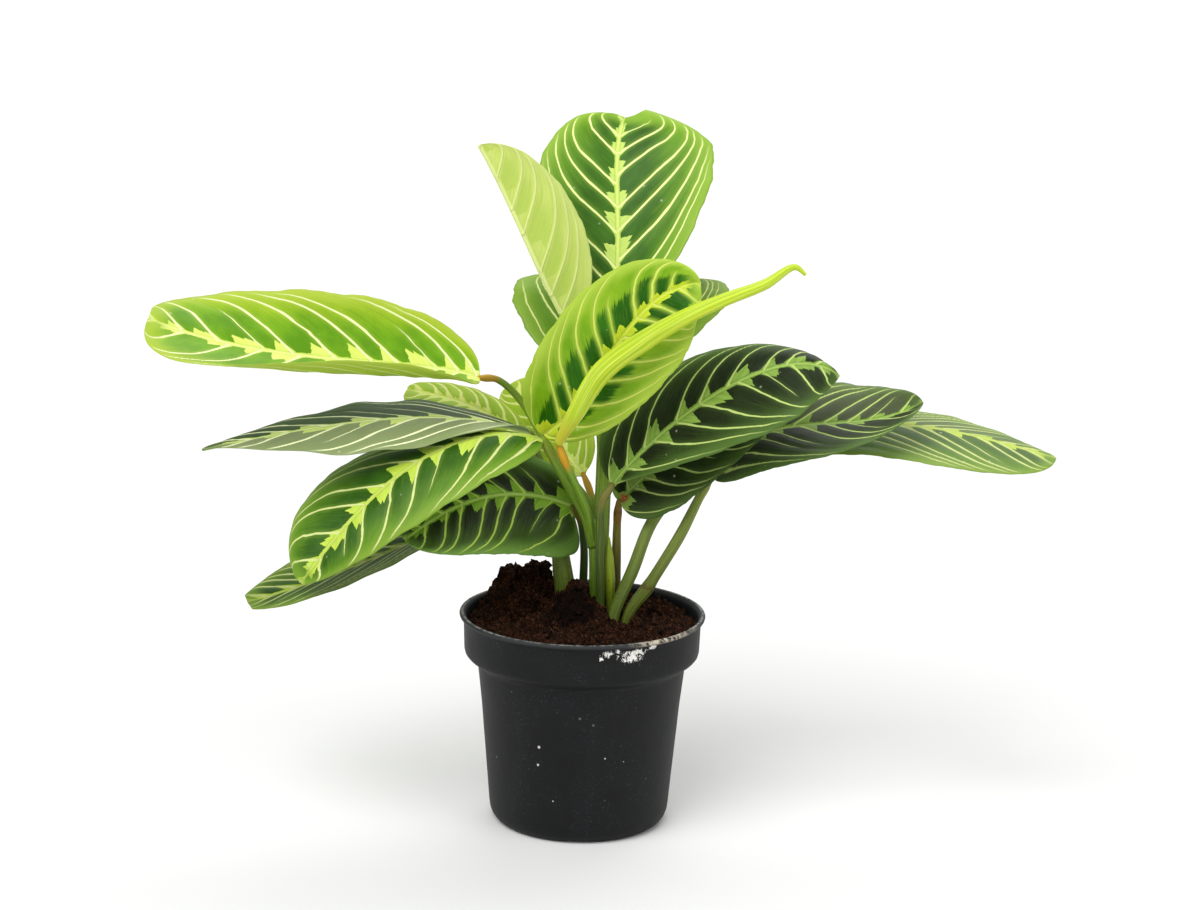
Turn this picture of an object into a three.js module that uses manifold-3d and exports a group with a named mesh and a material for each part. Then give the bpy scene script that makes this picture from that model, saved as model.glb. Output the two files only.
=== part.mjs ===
// A prayer plant (maranta) in a black nursery pot: the pot, its soil, sixteen leaf blades and the stems that
// carry them. Millimetres, +Z up, the origin in the middle of the pot's underside. -Y is the front.
import * as THREE from 'three';
import { mergeVertices } from 'three/addons/utils/BufferGeometryUtils.js';
import Module from 'manifold-3d';

const wasm = await Module();
wasm.setup();

// ---------------------------------------------------------------- driving dimensions
const POT_HEIGHT = 94;
const LIP_RADIUS = 54;
const LIP_DEPTH = 2.2;
const LIP_TOP_WIDTH = 2.4;
const COLLAR_RADIUS = 51.8;
const COLLAR_FLARE = 0.4;
const COLLAR_BOTTOM = 75;
const COLLAR_ROUND = 1.8;
const BODY_TOP_RADIUS = 46.2;
const BODY_TOP = 71;
const BODY_BOTTOM_RADIUS = 40;
const FOOT_ROUND_ACROSS = 5.4;
const FOOT_ROUND_UP = 10;
const FLOOR_THICKNESS = 1.5;
const WALL = 1.2;
const SIDES_OF_POT = 40;

const SOIL_LEVEL = 88.5;
const SOIL_GAP = 0.35;
const SOIL_FLOOR_GAP = 0.5;
// Within this radius the soil may heap up; outside it the soil settles against the wall.
const SETTLED_FROM = 44;
const SETTLED_SHARE = 0.4;

const BLADE_THICKNESS = 0.8;
const STALK_GAP = 0.35;
const STALK_FOOT = 70;

// How finely a blade is divided: rows from base to tip, and the places of its columns across.
const BLADE_ROWS = 18;
const BLADE_COLUMNS = [-1, -0.72, -0.38, 0, 0.38, 0.72, 1];

const GREEN = { lime: 0x9ccb3b, dark: 0x3f6b35, pale: 0xbdd77a, stalk: 0x7f9a3c, young: 0xb9cf4a };

// ---------------------------------------------------------------- small helpers
const degrees = (angle) => (angle * Math.PI) / 180;
const vector = ([x, y, z]) => new THREE.Vector3(x, y, z);

/** A mesh geometry as a solid that can be joined and cut. */
function toSolid(geometry) {
  const bare = geometry.clone();
  bare.deleteAttribute('normal');
  bare.deleteAttribute('uv');
  const merged = mergeVertices(bare, 1e-4);
  return new wasm.Manifold(new wasm.Mesh({
    numProp: 3,
    vertProperties: new Float32Array(merged.attributes.position.array),
    triVerts: new Uint32Array(merged.index.array),
  }));
}

/** The largest single body of a solid, as a mesh geometry. */
function toGeometry(solid) {
  const bodies = solid.decompose().sort((a, b) => b.volume() - a.volume());
  const mesh = bodies[0].getMesh();
  const geometry = new THREE.BufferGeometry();
  geometry.setAttribute('position', new THREE.BufferAttribute(Float32Array.from(mesh.vertProperties), 3));
  geometry.setIndex(new THREE.BufferAttribute(Uint32Array.from(mesh.triVerts), 1));
  geometry.computeVertexNormals();
  return geometry;
}

/** A closed geometry from points and triangles. */
function fromPoints(points, triangles) {
  const geometry = new THREE.BufferGeometry();
  geometry.setAttribute('position', new THREE.Float32BufferAttribute(points.flatMap((p) => [p.x, p.y, p.z]), 3));
  geometry.setIndex(triangles);
  return geometry;
}

// ---------------------------------------------------------------- stems
/**
 * A tapering stem. Each stop is [x, y, z, radius]; the stem runs smoothly through them.
 * `grow` makes it fatter and longer all over, for the room that is cut round it.
 */
function stem(stops, { sides = 8, stepsPerStop = 2, grow = 0, roll = 0 } = {}) {
  const curve = new THREE.CatmullRomCurve3(stops.map(vector), false, 'centripetal');
  const steps = (stops.length - 1) * stepsPerStop;
  const frames = curve.computeFrenetFrames(steps, false);
  const points = [];
  const ends = [];
  const triangles = [];
  for (let i = 0; i <= steps; i += 1) {
    const share = i / steps;
    const centre = curve.getPoint(share);
    if (i === 0) centre.addScaledVector(frames.tangents[0], -grow);
    if (i === steps) centre.addScaledVector(frames.tangents[steps], grow);
    ends[i === 0 ? 0 : 1] = centre.clone();
    const place = share * (stops.length - 1);
    const before = Math.min(Math.floor(place), stops.length - 2);
    const radius = THREE.MathUtils.lerp(stops[before][3], stops[before + 1][3], place - before) + grow;
    for (let k = 0; k < sides; k += 1) {
      const angle = (k / sides) * 2 * Math.PI;
      // A rolled leaf winds over itself, so its section grows by `roll` on the way round and steps back.
      const reach = radius * (1 + (roll * k) / (sides - 1));
      points.push(centre.clone()
        .addScaledVector(frames.normals[i], Math.cos(angle) * reach)
        .addScaledVector(frames.binormals[i], Math.sin(angle) * reach));
    }
  }
  for (let i = 0; i < steps; i += 1) {
    for (let k = 0; k < sides; k += 1) {
      const a = i * sides + k;
      const b = i * sides + ((k + 1) % sides);
      triangles.push(a, b, b + sides, a, b + sides, a + sides);
    }
  }
  const start = points.push(ends[0]) - 1;
  const end = points.push(ends[1]) - 1;
  for (let k = 0; k < sides; k += 1) {
    const next = (k + 1) % sides;
    triangles.push(start, next, k, end, steps * sides + k, steps * sides + next);
  }
  return toSolid(fromPoints(points, triangles));
}

// The main shoot stands behind the middle and carries five leaves.
const MAIN_SHOOT = {
  trunk: [[7, 12, STALK_FOOT, 3.4], [7, 12, 98, 3.4], [7.5, 13, 130, 3.6], [8, 15, 158, 3.4], [7.5, 17, 174, 2.4]],
  top_round: [[8, 15, 156, 2.2], [8, 16, 172, 2.2], [7, 19, 191, 1.7], [6, 22, 205.4, 1.2]],
  pale_back: [[7, 15, 156, 2], [6, 16, 172, 1.9], [1, 16, 194, 1.5], [-6.8, 14, 215.4, 1]],
  back_broad: [[8, 14, 148, 2], [8, 18, 163, 2], [8, 23, 172, 1.7], [8, 27.6, 178.6, 1.2]],
  long_lime: [[7, 13, 126, 1.9], [2, 17, 138, 1.9], [-8, 22, 150, 1.8], [-18, 26, 164, 1.7], [-29, 30, 181, 1.6],
    [-39, 22, 192, 1.5], [-46.3, 12, 194.8, 1.2]],
  young_center: [[7, 13, 126, 1.7], [5, 17, 135, 1.6], [2, 23, 143, 1.4], [-0.7, 27.6, 148.6, 1.1]],
};

// The centre shoot stands in front of it and carries the two large front leaves and the rolled one.
const CENTRE_SHOOT = {
  trunk: [[5, 6, STALK_FOOT, 2.5], [5, 6, 97, 2.5], [5, 6, 114, 2.6], [4, 5, 129, 2.7], [3, 4.4, 134, 2.4]],
  front_left: [[4, 5, 122, 2.4], [0.6, 3.4, 136, 2.5], [-5.4, -0.6, 148, 2.4], [-13, -6, 162, 2.1],
    [-18.4, -9.6, 172.8, 1.4]],
  front_bright: [[4, 6, 122, 1.9], [0, 7, 135, 1.9], [-8, 6, 149, 1.8], [-15, 4, 163, 1.6], [-18.6, 2.2, 171.4, 1.1]],
  rolled: [[4, 5, 122, 1.9], [1.4, 1, 137, 1.8], [-3.6, -6, 151, 1.7], [-8.6, -12, 163, 1.6], [-11.6, -13.6, 171, 1.3]],
};

// The left shoot is a broad sheath at the soil and carries three leaves.
const LEFT_SHOOT = {
  sheath: [[-7.6, 14, STALK_FOOT, 4.7], [-7.6, 14, 97, 4.7], [-9.2, 14, 108, 4.4], [-11, 14.5, 122, 3.5],
    [-11.5, 15, 130, 2.2]],
  left_arch: [[-11, 14, 120, 2], [-12, 15, 131, 1.9], [-16, 15, 146, 1.7], [-21, 14.4, 161, 1.5], [-24, 6.4, 172, 1.1]],
  low_left: [[-11, 15, 118, 1.9], [-14, 19, 125, 1.8], [-23, 25, 130, 1.7], [-35, 27, 133.5, 1.5],
    [-45.4, 24.2, 134.2, 1.1]],
  lime_behind: [[-11, 15, 120, 1.8], [-12, 19, 130, 1.7], [-14.5, 23, 141, 1.5], [-19, 24.4, 151, 1.3],
    [-22.5, 24.4, 159.4, 1]],
};

const SINGLE_STALKS = {
  low_inner: [[0, 20, STALK_FOOT, 1.9], [0, 20, 98, 1.9], [0, 19.5, 118, 1.7], [-2, 16, 131, 1.5],
    [-5.4, 10.6, 138.4, 1.1]],
  right_upper: [[7.6, 0.6, STALK_FOOT, 2], [7.6, 0.6, 98, 2], [7, 0, 126, 1.9], [7.6, -1, 144, 1.7],
    [11.5, -0.2, 150.6, 1.3]],
  right_under: [[14.5, 14, STALK_FOOT, 2.2], [14.5, 14, 95, 2.2], [14.4, 13, 114, 2.1], [14.4, 10.5, 133, 1.7],
    [14.8, 8.2, 141.4, 1.2]],
  right_second: [[18, 2, STALK_FOOT, 2.5], [20, 2, 92, 2.5], [28, 3, 104, 3], [31, 3.4, 109, 2.5], [42, 5, 128, 2.5],
    [50, 6, 145, 2], [54.6, 6.1, 153.5, 1.2]],
  right_far: [[12, -1.5, STALK_FOOT, 2.6], [13.6, -0.6, 92, 2.6], [21.6, 4, 112, 2.8], [30.4, 9, 134, 2.6],
    [46, 14, 150, 2.2], [70, 18, 161, 1.8], [95.4, 18, 163.9, 1.2]],
};

// A young sheath, still closed round its first leaf, ends in a soft point.
const YOUNG_SHEATH = [[12, 6.4, STALK_FOOT, 1.7], [12, 6.4, 96, 1.8], [11.6, 5.8, 107, 2.4], [11.2, 5, 117, 2],
  [10.8, 4.4, 126.5, 0.5]];

// ---------------------------------------------------------------- leaf blades
// A blade hangs on its midrib, a cubic curve through four places from base to tip. `face` is the way its upper
// side faces at the base and at the tip. Where a setting is a pair, it is for the left and the right half: `half` is
// the half width, `belly` the outline (a larger first number moves the widest place to the tip, and a third number
// leaves the tip blunt), `heel` how far the margin reaches back past the stalk, and `lobe` how far it reaches on past
// the tip. Each side has a fold at the midrib and a curl from there to the margin, in degrees, upwards if positive:
// one value, or base and tip, or base, middle and tip. `wave` is the margin's height, count and start.
const BLADES = {
  long_lime: {
    rib: [[-47, 12, 195], [-84, 2, 202], [-134, -12, 209], [-185, -22, 224]],
    face: [[0, -0.22, 0.97], [0, -0.42, 0.9]], half: [36, 34], belly: [[0.45, 0.36], [0.45, 0.36, 0.006]],
    left: { fold: [0, -12, -5], curl: [10, 80, 0] }, right: { fold: [20, 27, -4], curl: [10, 6, -10] },
    colour: GREEN.lime,
  },
  left_arch: {
    rib: [[-24.5, 6, 172.5], [-67, -8, 181], [-114, -14, 177], [-164, -14, 166]],
    face: [[0, 0, 1], [0, -0.05, 1]], half: [23.5, 28], belly: [[0.8, 1], [0.6, 0.75]], wave: [0.5, 4, 0],
    left: { fold: [26, -19, 10], curl: [0, -6, -5] }, right: { fold: [0, 3, 0], curl: [0] },
    colour: GREEN.dark,
  },
  front_left: {
    rib: [[-19, -10, 173.5], [-60, -26, 172], [-93, -36, 148], [-119, -40, 115]],
    face: [[-0.1, -0.45, 0.9], [-0.5, -0.8, 0.45]], half: [27, 36], belly: [[0.5, 0.75], [0.85, 0.56]],
    left: { fold: [0, 4, 20], curl: [-10, -20, -50] }, right: { fold: [-30, -14, 20], curl: [-14, -22, -40] },
    colour: GREEN.dark,
  },
  low_left: {
    rib: [[-46, 24, 134], [-75, 12, 121], [-108, -6, 110], [-144, -22, 101]],
    face: [[-0.45, -0.1, 0.88], [-0.4, -0.25, 0.9]], half: [24.5, 24], belly: [[0.5, 0.4, 0.02], [0.6, 0.8, 0.04]],
    left: { fold: [10, 6, 4], curl: [0] }, right: { fold: [24, 22, 20], curl: [0] },
    colour: GREEN.dark,
  },
  low_inner: {
    rib: [[-6, 10, 139], [-32, -4, 147], [-55, -18, 144], [-76, -30, 132]],
    face: [[-0.1, -0.95, 0.3], [-0.3, -0.9, 0.35]], half: [27.5, 21], belly: [[0.32, 0.5], [0.5, 0.55]],
    heel: [27, 6], left: { fold: [0], curl: [-10] }, right: { fold: [-4], curl: [-16] },
    colour: GREEN.dark,
  },
  top_round: {
    rib: [[6, 22, 206], [12, 30, 244], [11, 44, 279], [14, 62, 304]],
    face: [[0, -1, 0.2], [0, -0.8, 0.7]], half: [35.5, 43], belly: [[0.8, 0.56, 0.002], [1.2, 0.45, 0.002]],
    lobe: [0, 7], left: { fold: [8], curl: [0] }, right: { fold: [8], curl: [0] },
    colour: GREEN.dark,
  },
  pale_back: {
    rib: [[-7, 14, 216], [-19, 10, 237], [-33, 6, 267], [-48, 0, 297]],
    face: [[0.545, 0.84, 0.3], [0.545, 0.84, 0.3]], half: [26.5, 25.5], belly: [[0.75, 0.68], [0.55, 0.65]],
    left: { fold: [60], curl: [-6] }, right: { fold: [60], curl: [-6] },
    colour: GREEN.pale,
  },
  front_bright: {
    rib: [[-19, 2, 172], [2, -16, 199], [20, -27, 229], [46, -33, 246]],
    face: [[-0.1, -1, 0.1], [-0.2, -1, 0.2]], half: [27.5, 26.5], belly: [[0.4, 0.6], [0.75, 0.42, 0.004]],
    heel: [5, 3], left: { fold: [6], curl: [0] }, right: { fold: [6], curl: [0] },
    colour: GREEN.lime,
  },
  right_upper: {
    rib: [[12, 0, 151], [38, -12, 182], [74, -22, 207], [106, -24, 206]],
    face: [[-0.4, -0.7, 0.6], [0.1, -0.7, 0.7]], half: [29, 31], belly: [[0.5, 1], [1.1, 0.62]],
    heel: [6, 0], left: { fold: [5, 0, -10], curl: [0, -30, -60] }, right: { fold: [5], curl: [0] },
    colour: GREEN.dark,
  },
  right_second: {
    rib: [[55, 6, 154], [81, 0, 177], [113, -4, 182], [144, -6, 192]],
    face: [[-0.3, -0.6, 0.8], [0, -0.5, 0.9]], half: [27.5, 27.5], belly: [[0.5, 0.45], [0.5, 0.45]],
    left: { fold: [0, -6], curl: [0] }, right: { fold: [4, 12, 36], curl: [0] },
    colour: GREEN.dark,
  },
  right_far: {
    rib: [[96, 18, 164], [128, 14, 177], [164, 6, 176], [203, -4, 168]],
    face: [[-0.1, -0.2, 0.95], [0.15, -0.25, 0.95]], half: [29, 29], belly: [[0.5, 0.95], [0.5, 0.42]],
    left: { fold: [-11], curl: [0] }, right: { fold: [2, -7, -8], curl: [0] },
    colour: GREEN.dark,
  },
  right_under: {
    rib: [[15, 8, 142], [30, 6, 158], [51, 2, 175], [82, -4, 188]],
    face: [[-0.3, -0.8, 0.5], [-0.1, -0.8, 0.6]], half: [13, 23], belly: [[0.42, 0.6], [0.5, 0.5]],
    heel: [3, 6], left: { fold: [0], curl: [0] }, right: { fold: [0], curl: [0] },
    colour: GREEN.dark,
  },
  back_broad: {
    rib: [[8, 28, 179], [11, 44, 198], [13, 60, 217], [14, 84, 227]],
    face: [[0, -1, 0.4], [0, -0.6, 0.9]], half: [48, 50], belly: [[0.9, 0.36], [1.5, 0.36]],
    left: { fold: [6], curl: [0] }, right: { fold: [6], curl: [0] },
    colour: GREEN.dark,
  },
  lime_behind: {
    rib: [[-23, 24, 160], [-43, 36, 173], [-61, 46, 178], [-81, 52, 181]],
    face: [[-0.2, -0.3, 0.9], [-0.3, -0.4, 0.85]], half: [18, 12], belly: [[0.5, 0.35, 0.01], [0.5, 0.4]],
    left: { fold: [10], curl: [0] }, right: { fold: [0], curl: [-10] },
    colour: GREEN.lime,
  },
  young_center: {
    rib: [[-1, 28, 149], [-12, 38, 160], [-24, 48, 172], [-36, 58, 182]],
    face: [[0, -0.8, 0.5], [0, -0.7, 0.6]], half: [16, 18], belly: [[0.5, 0.5], [0.5, 0.5]],
    left: { fold: [10], curl: [10] }, right: { fold: [10], curl: [10] },
    colour: GREEN.lime,
  },
};

/** A setting at `share` of the length: one value, or base and tip, or base, middle and tip. */
function setting(values, share) {
  if (values.length === 1) return values[0];
  if (values.length === 2) return THREE.MathUtils.lerp(values[0], values[1], share);
  const rest = 1 - share;
  return values[0] * rest * (1 - 2 * share) + values[1] * 4 * share * rest + values[2] * share * (2 * share - 1);
}

/** The midrib's place at `share` of its length: the cubic through its four places. */
function ribPlace(rib, share) {
  const stops = [0, 1 / 3, 2 / 3, 1];
  const place = new THREE.Vector3();
  stops.forEach((own, i) => {
    const others = stops.filter((stop) => stop !== own);
    const weight = others.reduce((product, stop) => (product * (share - stop)) / (own - stop), 1);
    place.addScaledVector(vector(rib[i]), weight);
  });
  return place;
}

/** The half width's share of its greatest value at `share` of the length. */
function outline([a, b, blunt = 0], share) {
  const reach = 1 - blunt;
  const widest = a / (a + b);
  return (share ** a * (1 - reach * share) ** b) / ((widest / reach) ** a * (1 - widest) ** b);
}

const NARROWEST_HALF = 0.6;
const LEFT_WAVE_OFFSET = 1.7;
// A lobe rises only near the tip; a higher power keeps it nearer.
const LOBE_POWER = 8;

/** A place in the middle of the blade's thickness; `across` runs from -1, the left margin, to 1. */
function bladePlace(blade, share, across) {
  const centre = ribPlace(blade.rib, share);
  const along = ribPlace(blade.rib, share + 0.001).sub(ribPlace(blade.rib, share - 0.001)).normalize();
  const up = vector(blade.face[0]).normalize().lerp(vector(blade.face[1]).normalize(), share);
  up.addScaledVector(along, -up.dot(along)).normalize();
  const side = new THREE.Vector3().crossVectors(along, up);

  const hand = across < 0 ? 0 : 1;
  const { fold, curl } = hand === 0 ? blade.left : blade.right;
  const full = outline(blade.belly[hand], share);
  const half = Math.max(blade.half[hand] * full, NARROWEST_HALF);
  const start = degrees(setting(fold, share));
  const bend = degrees(setting(curl, share)) || 1e-4;
  const reach = Math.abs(across);
  const out = (half * (Math.sin(start + bend * reach) - Math.sin(start))) / bend;
  const [height, count, first] = blade.wave ?? [0, 0, 0];
  const fade = Math.min(1, 4 * share, 4 * (1 - share));
  const offset = hand === 0 ? LEFT_WAVE_OFFSET : 0;
  const wave = height * reach * reach * Math.sin(2 * Math.PI * count * share + first + offset) * fade;
  const lift = (half * (Math.cos(start) - Math.cos(start + bend * reach))) / bend + wave;
  const heel = (blade.heel ?? [0, 0])[hand] * full * (1 - share) ** 2;
  const lobe = (blade.lobe ?? [0, 0])[hand] * share ** LOBE_POWER;
  const back = (heel - lobe) * reach * reach;
  return centre.addScaledVector(side, Math.sign(across) * out).addScaledVector(up, lift).addScaledVector(along, -back);
}

/** A closed blade of even thickness; both faces are split into triangles alike. */
function bladeSolid(blade) {
  const columns = BLADE_COLUMNS.length;
  const shares = Array.from({ length: BLADE_ROWS }, (_, i) => (1 - Math.cos((Math.PI * i) / (BLADE_ROWS - 1))) / 2);
  const middle = shares.map((share) => BLADE_COLUMNS.map((across) => bladePlace(blade, share, across)));
  const upper = [];
  const lower = [];
  for (let i = 0; i < BLADE_ROWS; i += 1) {
    for (let j = 0; j < columns; j += 1) {
      const along = middle[Math.min(i + 1, BLADE_ROWS - 1)][j].clone().sub(middle[Math.max(i - 1, 0)][j]);
      const side = middle[i][Math.min(j + 1, columns - 1)].clone().sub(middle[i][Math.max(j - 1, 0)]);
      const normal = side.cross(along).normalize().negate();
      upper.push(middle[i][j].clone().addScaledVector(normal, -BLADE_THICKNESS / 2));
      lower.push(middle[i][j].clone().addScaledVector(normal, BLADE_THICKNESS / 2));
    }
  }
  const points = [...upper, ...lower];
  const triangles = [];
  const under = upper.length;
  const at = (i, j) => i * columns + j;
  const quad = (a, b, c, d) => triangles.push(a, b, c, a, c, d);
  for (let i = 0; i < BLADE_ROWS - 1; i += 1) {
    for (let j = 0; j < columns - 1; j += 1) {
      const [a, b, c, d] = [at(i, j), at(i, j + 1), at(i + 1, j + 1), at(i + 1, j)];
      quad(a, b, c, d);
      triangles.push(under + a, under + c, under + b, under + a, under + d, under + c);
    }
    const last = columns - 1;
    quad(at(i, 0), at(i + 1, 0), under + at(i + 1, 0), under + at(i, 0));
    quad(at(i, last), under + at(i, last), under + at(i + 1, last), at(i + 1, last));
  }
  for (let j = 0; j < columns - 1; j += 1) {
    const end = BLADE_ROWS - 1;
    quad(at(0, j), under + at(0, j), under + at(0, j + 1), at(0, j + 1));
    quad(at(end, j), at(end, j + 1), under + at(end, j + 1), under + at(end, j));
  }
  return toSolid(fromPoints(points, triangles));
}

// The newest leaf, still rolled up tight: it rises past the front leaf and ends in a small hook.
const ROLLED_LEAF = [[-12, -14.2, 172.2, 1.6], [-5, -22, 187, 3.2], [6, -30, 207, 4], [23, -38, 222, 3.8],
  [39, -44, 233, 3], [55, -46, 241, 2.5], [72, -46, 248, 2], [84, -44, 255, 1.2], [88.5, -45, 252, 0.6]];

// ---------------------------------------------------------------- pot and soil
/** A body turned round the pot's axis from [radius, height] places. */
function turned(profile, sides) {
  const geometry = new THREE.LatheGeometry(profile.map(([r, z]) => new THREE.Vector2(r, z)), sides);
  geometry.rotateX(Math.PI / 2);
  return geometry;
}

/** The foot's round, from the flat underside up to the wall: a quarter of an ellipse. */
function footRound(radius, across, up, floor) {
  const steps = 4;
  return Array.from({ length: steps + 1 }, (_, i) => {
    const angle = (i / steps) * (Math.PI / 2);
    return [radius - across + across * Math.sin(angle), floor + up * (1 - Math.cos(angle))];
  });
}

const COLLAR_INSIDE = COLLAR_RADIUS - WALL;
const BODY_INSIDE = BODY_TOP_RADIUS - WALL;
const BOTTOM_INSIDE = BODY_BOTTOM_RADIUS - WALL;
const FOOT_ACROSS_INSIDE = FOOT_ROUND_ACROSS - WALL;
const FOOT_UP_INSIDE = FOOT_ROUND_UP - FLOOR_THICKNESS;
const LIP_ROUND = 0.9;

const POT_PROFILE = [
  [0, 0],
  ...footRound(BODY_BOTTOM_RADIUS, FOOT_ROUND_ACROSS, FOOT_ROUND_UP, 0),
  [BODY_TOP_RADIUS, BODY_TOP],
  [COLLAR_RADIUS - COLLAR_ROUND, COLLAR_BOTTOM],
  [COLLAR_RADIUS, COLLAR_BOTTOM + COLLAR_ROUND],
  [COLLAR_RADIUS + COLLAR_FLARE, POT_HEIGHT - LIP_DEPTH],
  [LIP_RADIUS, POT_HEIGHT - LIP_DEPTH + LIP_ROUND / 2],
  [LIP_RADIUS, POT_HEIGHT - LIP_ROUND],
  [LIP_RADIUS - LIP_ROUND, POT_HEIGHT],
  [LIP_RADIUS - LIP_TOP_WIDTH, POT_HEIGHT],
  [COLLAR_INSIDE, POT_HEIGHT - LIP_DEPTH],
  [COLLAR_INSIDE, COLLAR_BOTTOM + COLLAR_ROUND],
  [BODY_INSIDE, BODY_TOP + WALL / 2],
  ...footRound(BOTTOM_INSIDE, FOOT_ACROSS_INSIDE, FOOT_UP_INSIDE, FLOOR_THICKNESS).reverse(),
  [0, FLOOR_THICKNESS],
];

// Heaps on the soil: middle x and y, radius, height, and how flat its top is. A broad heap fills the back left, a
// smaller one joins it to the stems, a mound stands in front of them, and low swells lie round the stems and right.
const HEAPS = [[-31, 25, 16, 17, 4], [-14, 23, 8, 8, 4], [-4, 5, 11, 13, 2], [4, 12, 16, 5, 2], [5, -3, 6, 3, 2],
  [36, 22, 14, 3, 2]];
// Clods all over the soil: their height, and how fast the wide and the small ones follow each other.
const CLOD_HEIGHT = 0.9;
const WIDE_CLODS = [0.42, 0.38];
const SMALL_CLODS = [0.9, 0.7];
const SMALL_CLOD_SHARE = 0.6;

/** The soil's height over its level near the wall. */
function soilRise(x, y) {
  const heaped = HEAPS.reduce((sum, [middleX, middleY, radius, height, flat]) => {
    const away = Math.hypot(x - middleX, y - middleY) / radius;
    return sum + height * Math.exp(-(away ** flat));
  }, 0);
  const wide = Math.sin(x * WIDE_CLODS[0] + 1) * Math.sin(y * WIDE_CLODS[1]);
  const small = Math.sin(x * SMALL_CLODS[0] + y * SMALL_CLODS[1]);
  return heaped + CLOD_HEIGHT * (wide + SMALL_CLOD_SHARE * small);
}

/** The soil: a heaped top, and the pot's inside left free by a narrow gap. */
function soilSolid() {
  const edge = COLLAR_INSIDE - SOIL_GAP;
  const RINGS = [6, 11, 16, 21, 26, 31, 36, 41, 45, edge];
  const points = [new THREE.Vector3(0, 0, SOIL_LEVEL + soilRise(0, 0))];
  const rings = RINGS.map((radius) => [radius, null]);
  rings.push([edge, COLLAR_BOTTOM + COLLAR_ROUND + 2 * SOIL_GAP], [BODY_INSIDE - SOIL_GAP, BODY_TOP + WALL]);
  const floor = FLOOR_THICKNESS + SOIL_FLOOR_GAP;
  const foot = footRound(BOTTOM_INSIDE - SOIL_GAP, FOOT_ACROSS_INSIDE, FOOT_UP_INSIDE, floor);
  rings.push(...foot.reverse());
  for (const [radius, height] of rings) {
    for (let k = 0; k < SIDES_OF_POT; k += 1) {
      const angle = (k / SIDES_OF_POT) * 2 * Math.PI;
      const x = radius * Math.cos(angle);
      const y = radius * Math.sin(angle);
      const settle = radius > SETTLED_FROM ? SETTLED_SHARE : 1;
      points.push(new THREE.Vector3(x, y, height ?? SOIL_LEVEL + soilRise(x, y) * settle));
    }
  }
  const bottom = points.push(new THREE.Vector3(0, 0, floor)) - 1;
  const triangles = [];
  for (let k = 0; k < SIDES_OF_POT; k += 1) {
    const next = (k + 1) % SIDES_OF_POT;
    triangles.push(0, 1 + k, 1 + next);
    for (let ring = 0; ring < rings.length - 1; ring += 1) {
      const a = 1 + ring * SIDES_OF_POT + k;
      const b = 1 + ring * SIDES_OF_POT + next;
      triangles.push(a, a + SIDES_OF_POT, b + SIDES_OF_POT, a, b + SIDES_OF_POT, b);
    }
    const last = 1 + (rings.length - 1) * SIDES_OF_POT;
    triangles.push(bottom, last + next, last + k);
  }
  return toSolid(fromPoints(points, triangles));
}

// ---------------------------------------------------------------- the plant is put together
const plant = new THREE.Group();

function add(name, geometry, colour, roughness) {
  const mesh = new THREE.Mesh(geometry, new THREE.MeshStandardMaterial({ color: colour, roughness, metalness: 0 }));
  mesh.name = name;
  plant.add(mesh);
}

/** The stems of one shoot grown together as one body. */
function shoot(stems, options) {
  return Object.values(stems).map((stops) => stem(stops, options)).reduce((whole, next) => whole.add(next));
}

const SHOOTS = { shoot_main: MAIN_SHOOT, shoot_centre: CENTRE_SHOOT, shoot_left: LEFT_SHOOT };
const stalkOf = { ...MAIN_SHOOT, ...CENTRE_SHOOT, ...LEFT_SHOOT, ...SINGLE_STALKS };

const potGeometry = turned(POT_PROFILE, SIDES_OF_POT);
add('pot', toGeometry(toSolid(potGeometry)), 0x1b1c1e, 0.5);

// The stems stand in plain holes in the soil.
let soil = soilSolid();
const rooted = [MAIN_SHOOT.trunk, CENTRE_SHOOT.trunk, LEFT_SHOOT.sheath, YOUNG_SHEATH, ...Object.values(SINGLE_STALKS)];
for (const stops of rooted) soil = soil.subtract(stem(stops, { grow: STALK_GAP }));
add('soil', toGeometry(soil), 0x3a261b, 0.95);

for (const [name, stems] of Object.entries(SHOOTS)) add(name, toGeometry(shoot(stems)), GREEN.stalk, 0.6);
for (const [leaf, stops] of Object.entries(SINGLE_STALKS)) {
  add(`stalk_${leaf}`, toGeometry(stem(stops)), GREEN.stalk, 0.6);
}
add('sheath_young', toGeometry(stem(YOUNG_SHEATH)), GREEN.young, 0.6);

for (const [name, blade] of Object.entries(BLADES)) {
  const room = stem(stalkOf[name], { grow: STALK_GAP });
  add(`leaf_${name}`, toGeometry(bladeSolid(blade).subtract(room)), blade.colour, 0.55);
}
const rolledRoom = stem(stalkOf.rolled, { grow: STALK_GAP });
const rolled = stem(ROLLED_LEAF, { sides: 12, stepsPerStop: 3, roll: 0.2 }).subtract(rolledRoom);
add('leaf_rolled', toGeometry(rolled), GREEN.lime, 0.5);

export default plant;
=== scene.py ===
# %% [markdown]
# # A prayer plant in a nursery pot
# The real thing is a young maranta: sixteen patterned leaves on fleshy stalks, in peat, in a thin black
# plastic pot. The solids of the pot, the soil, the stems and the leaves are loaded first, as a fixed frame.
# Each later step then builds the fine piece that stands for one of them, in the same place, and gives it a
# finish that is made only from shader nodes.

# %% The plant's solids are loaded
import math
import random

import bmesh
import bpy
import numpy as np
from mathutils import Matrix, Vector, noise


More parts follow.
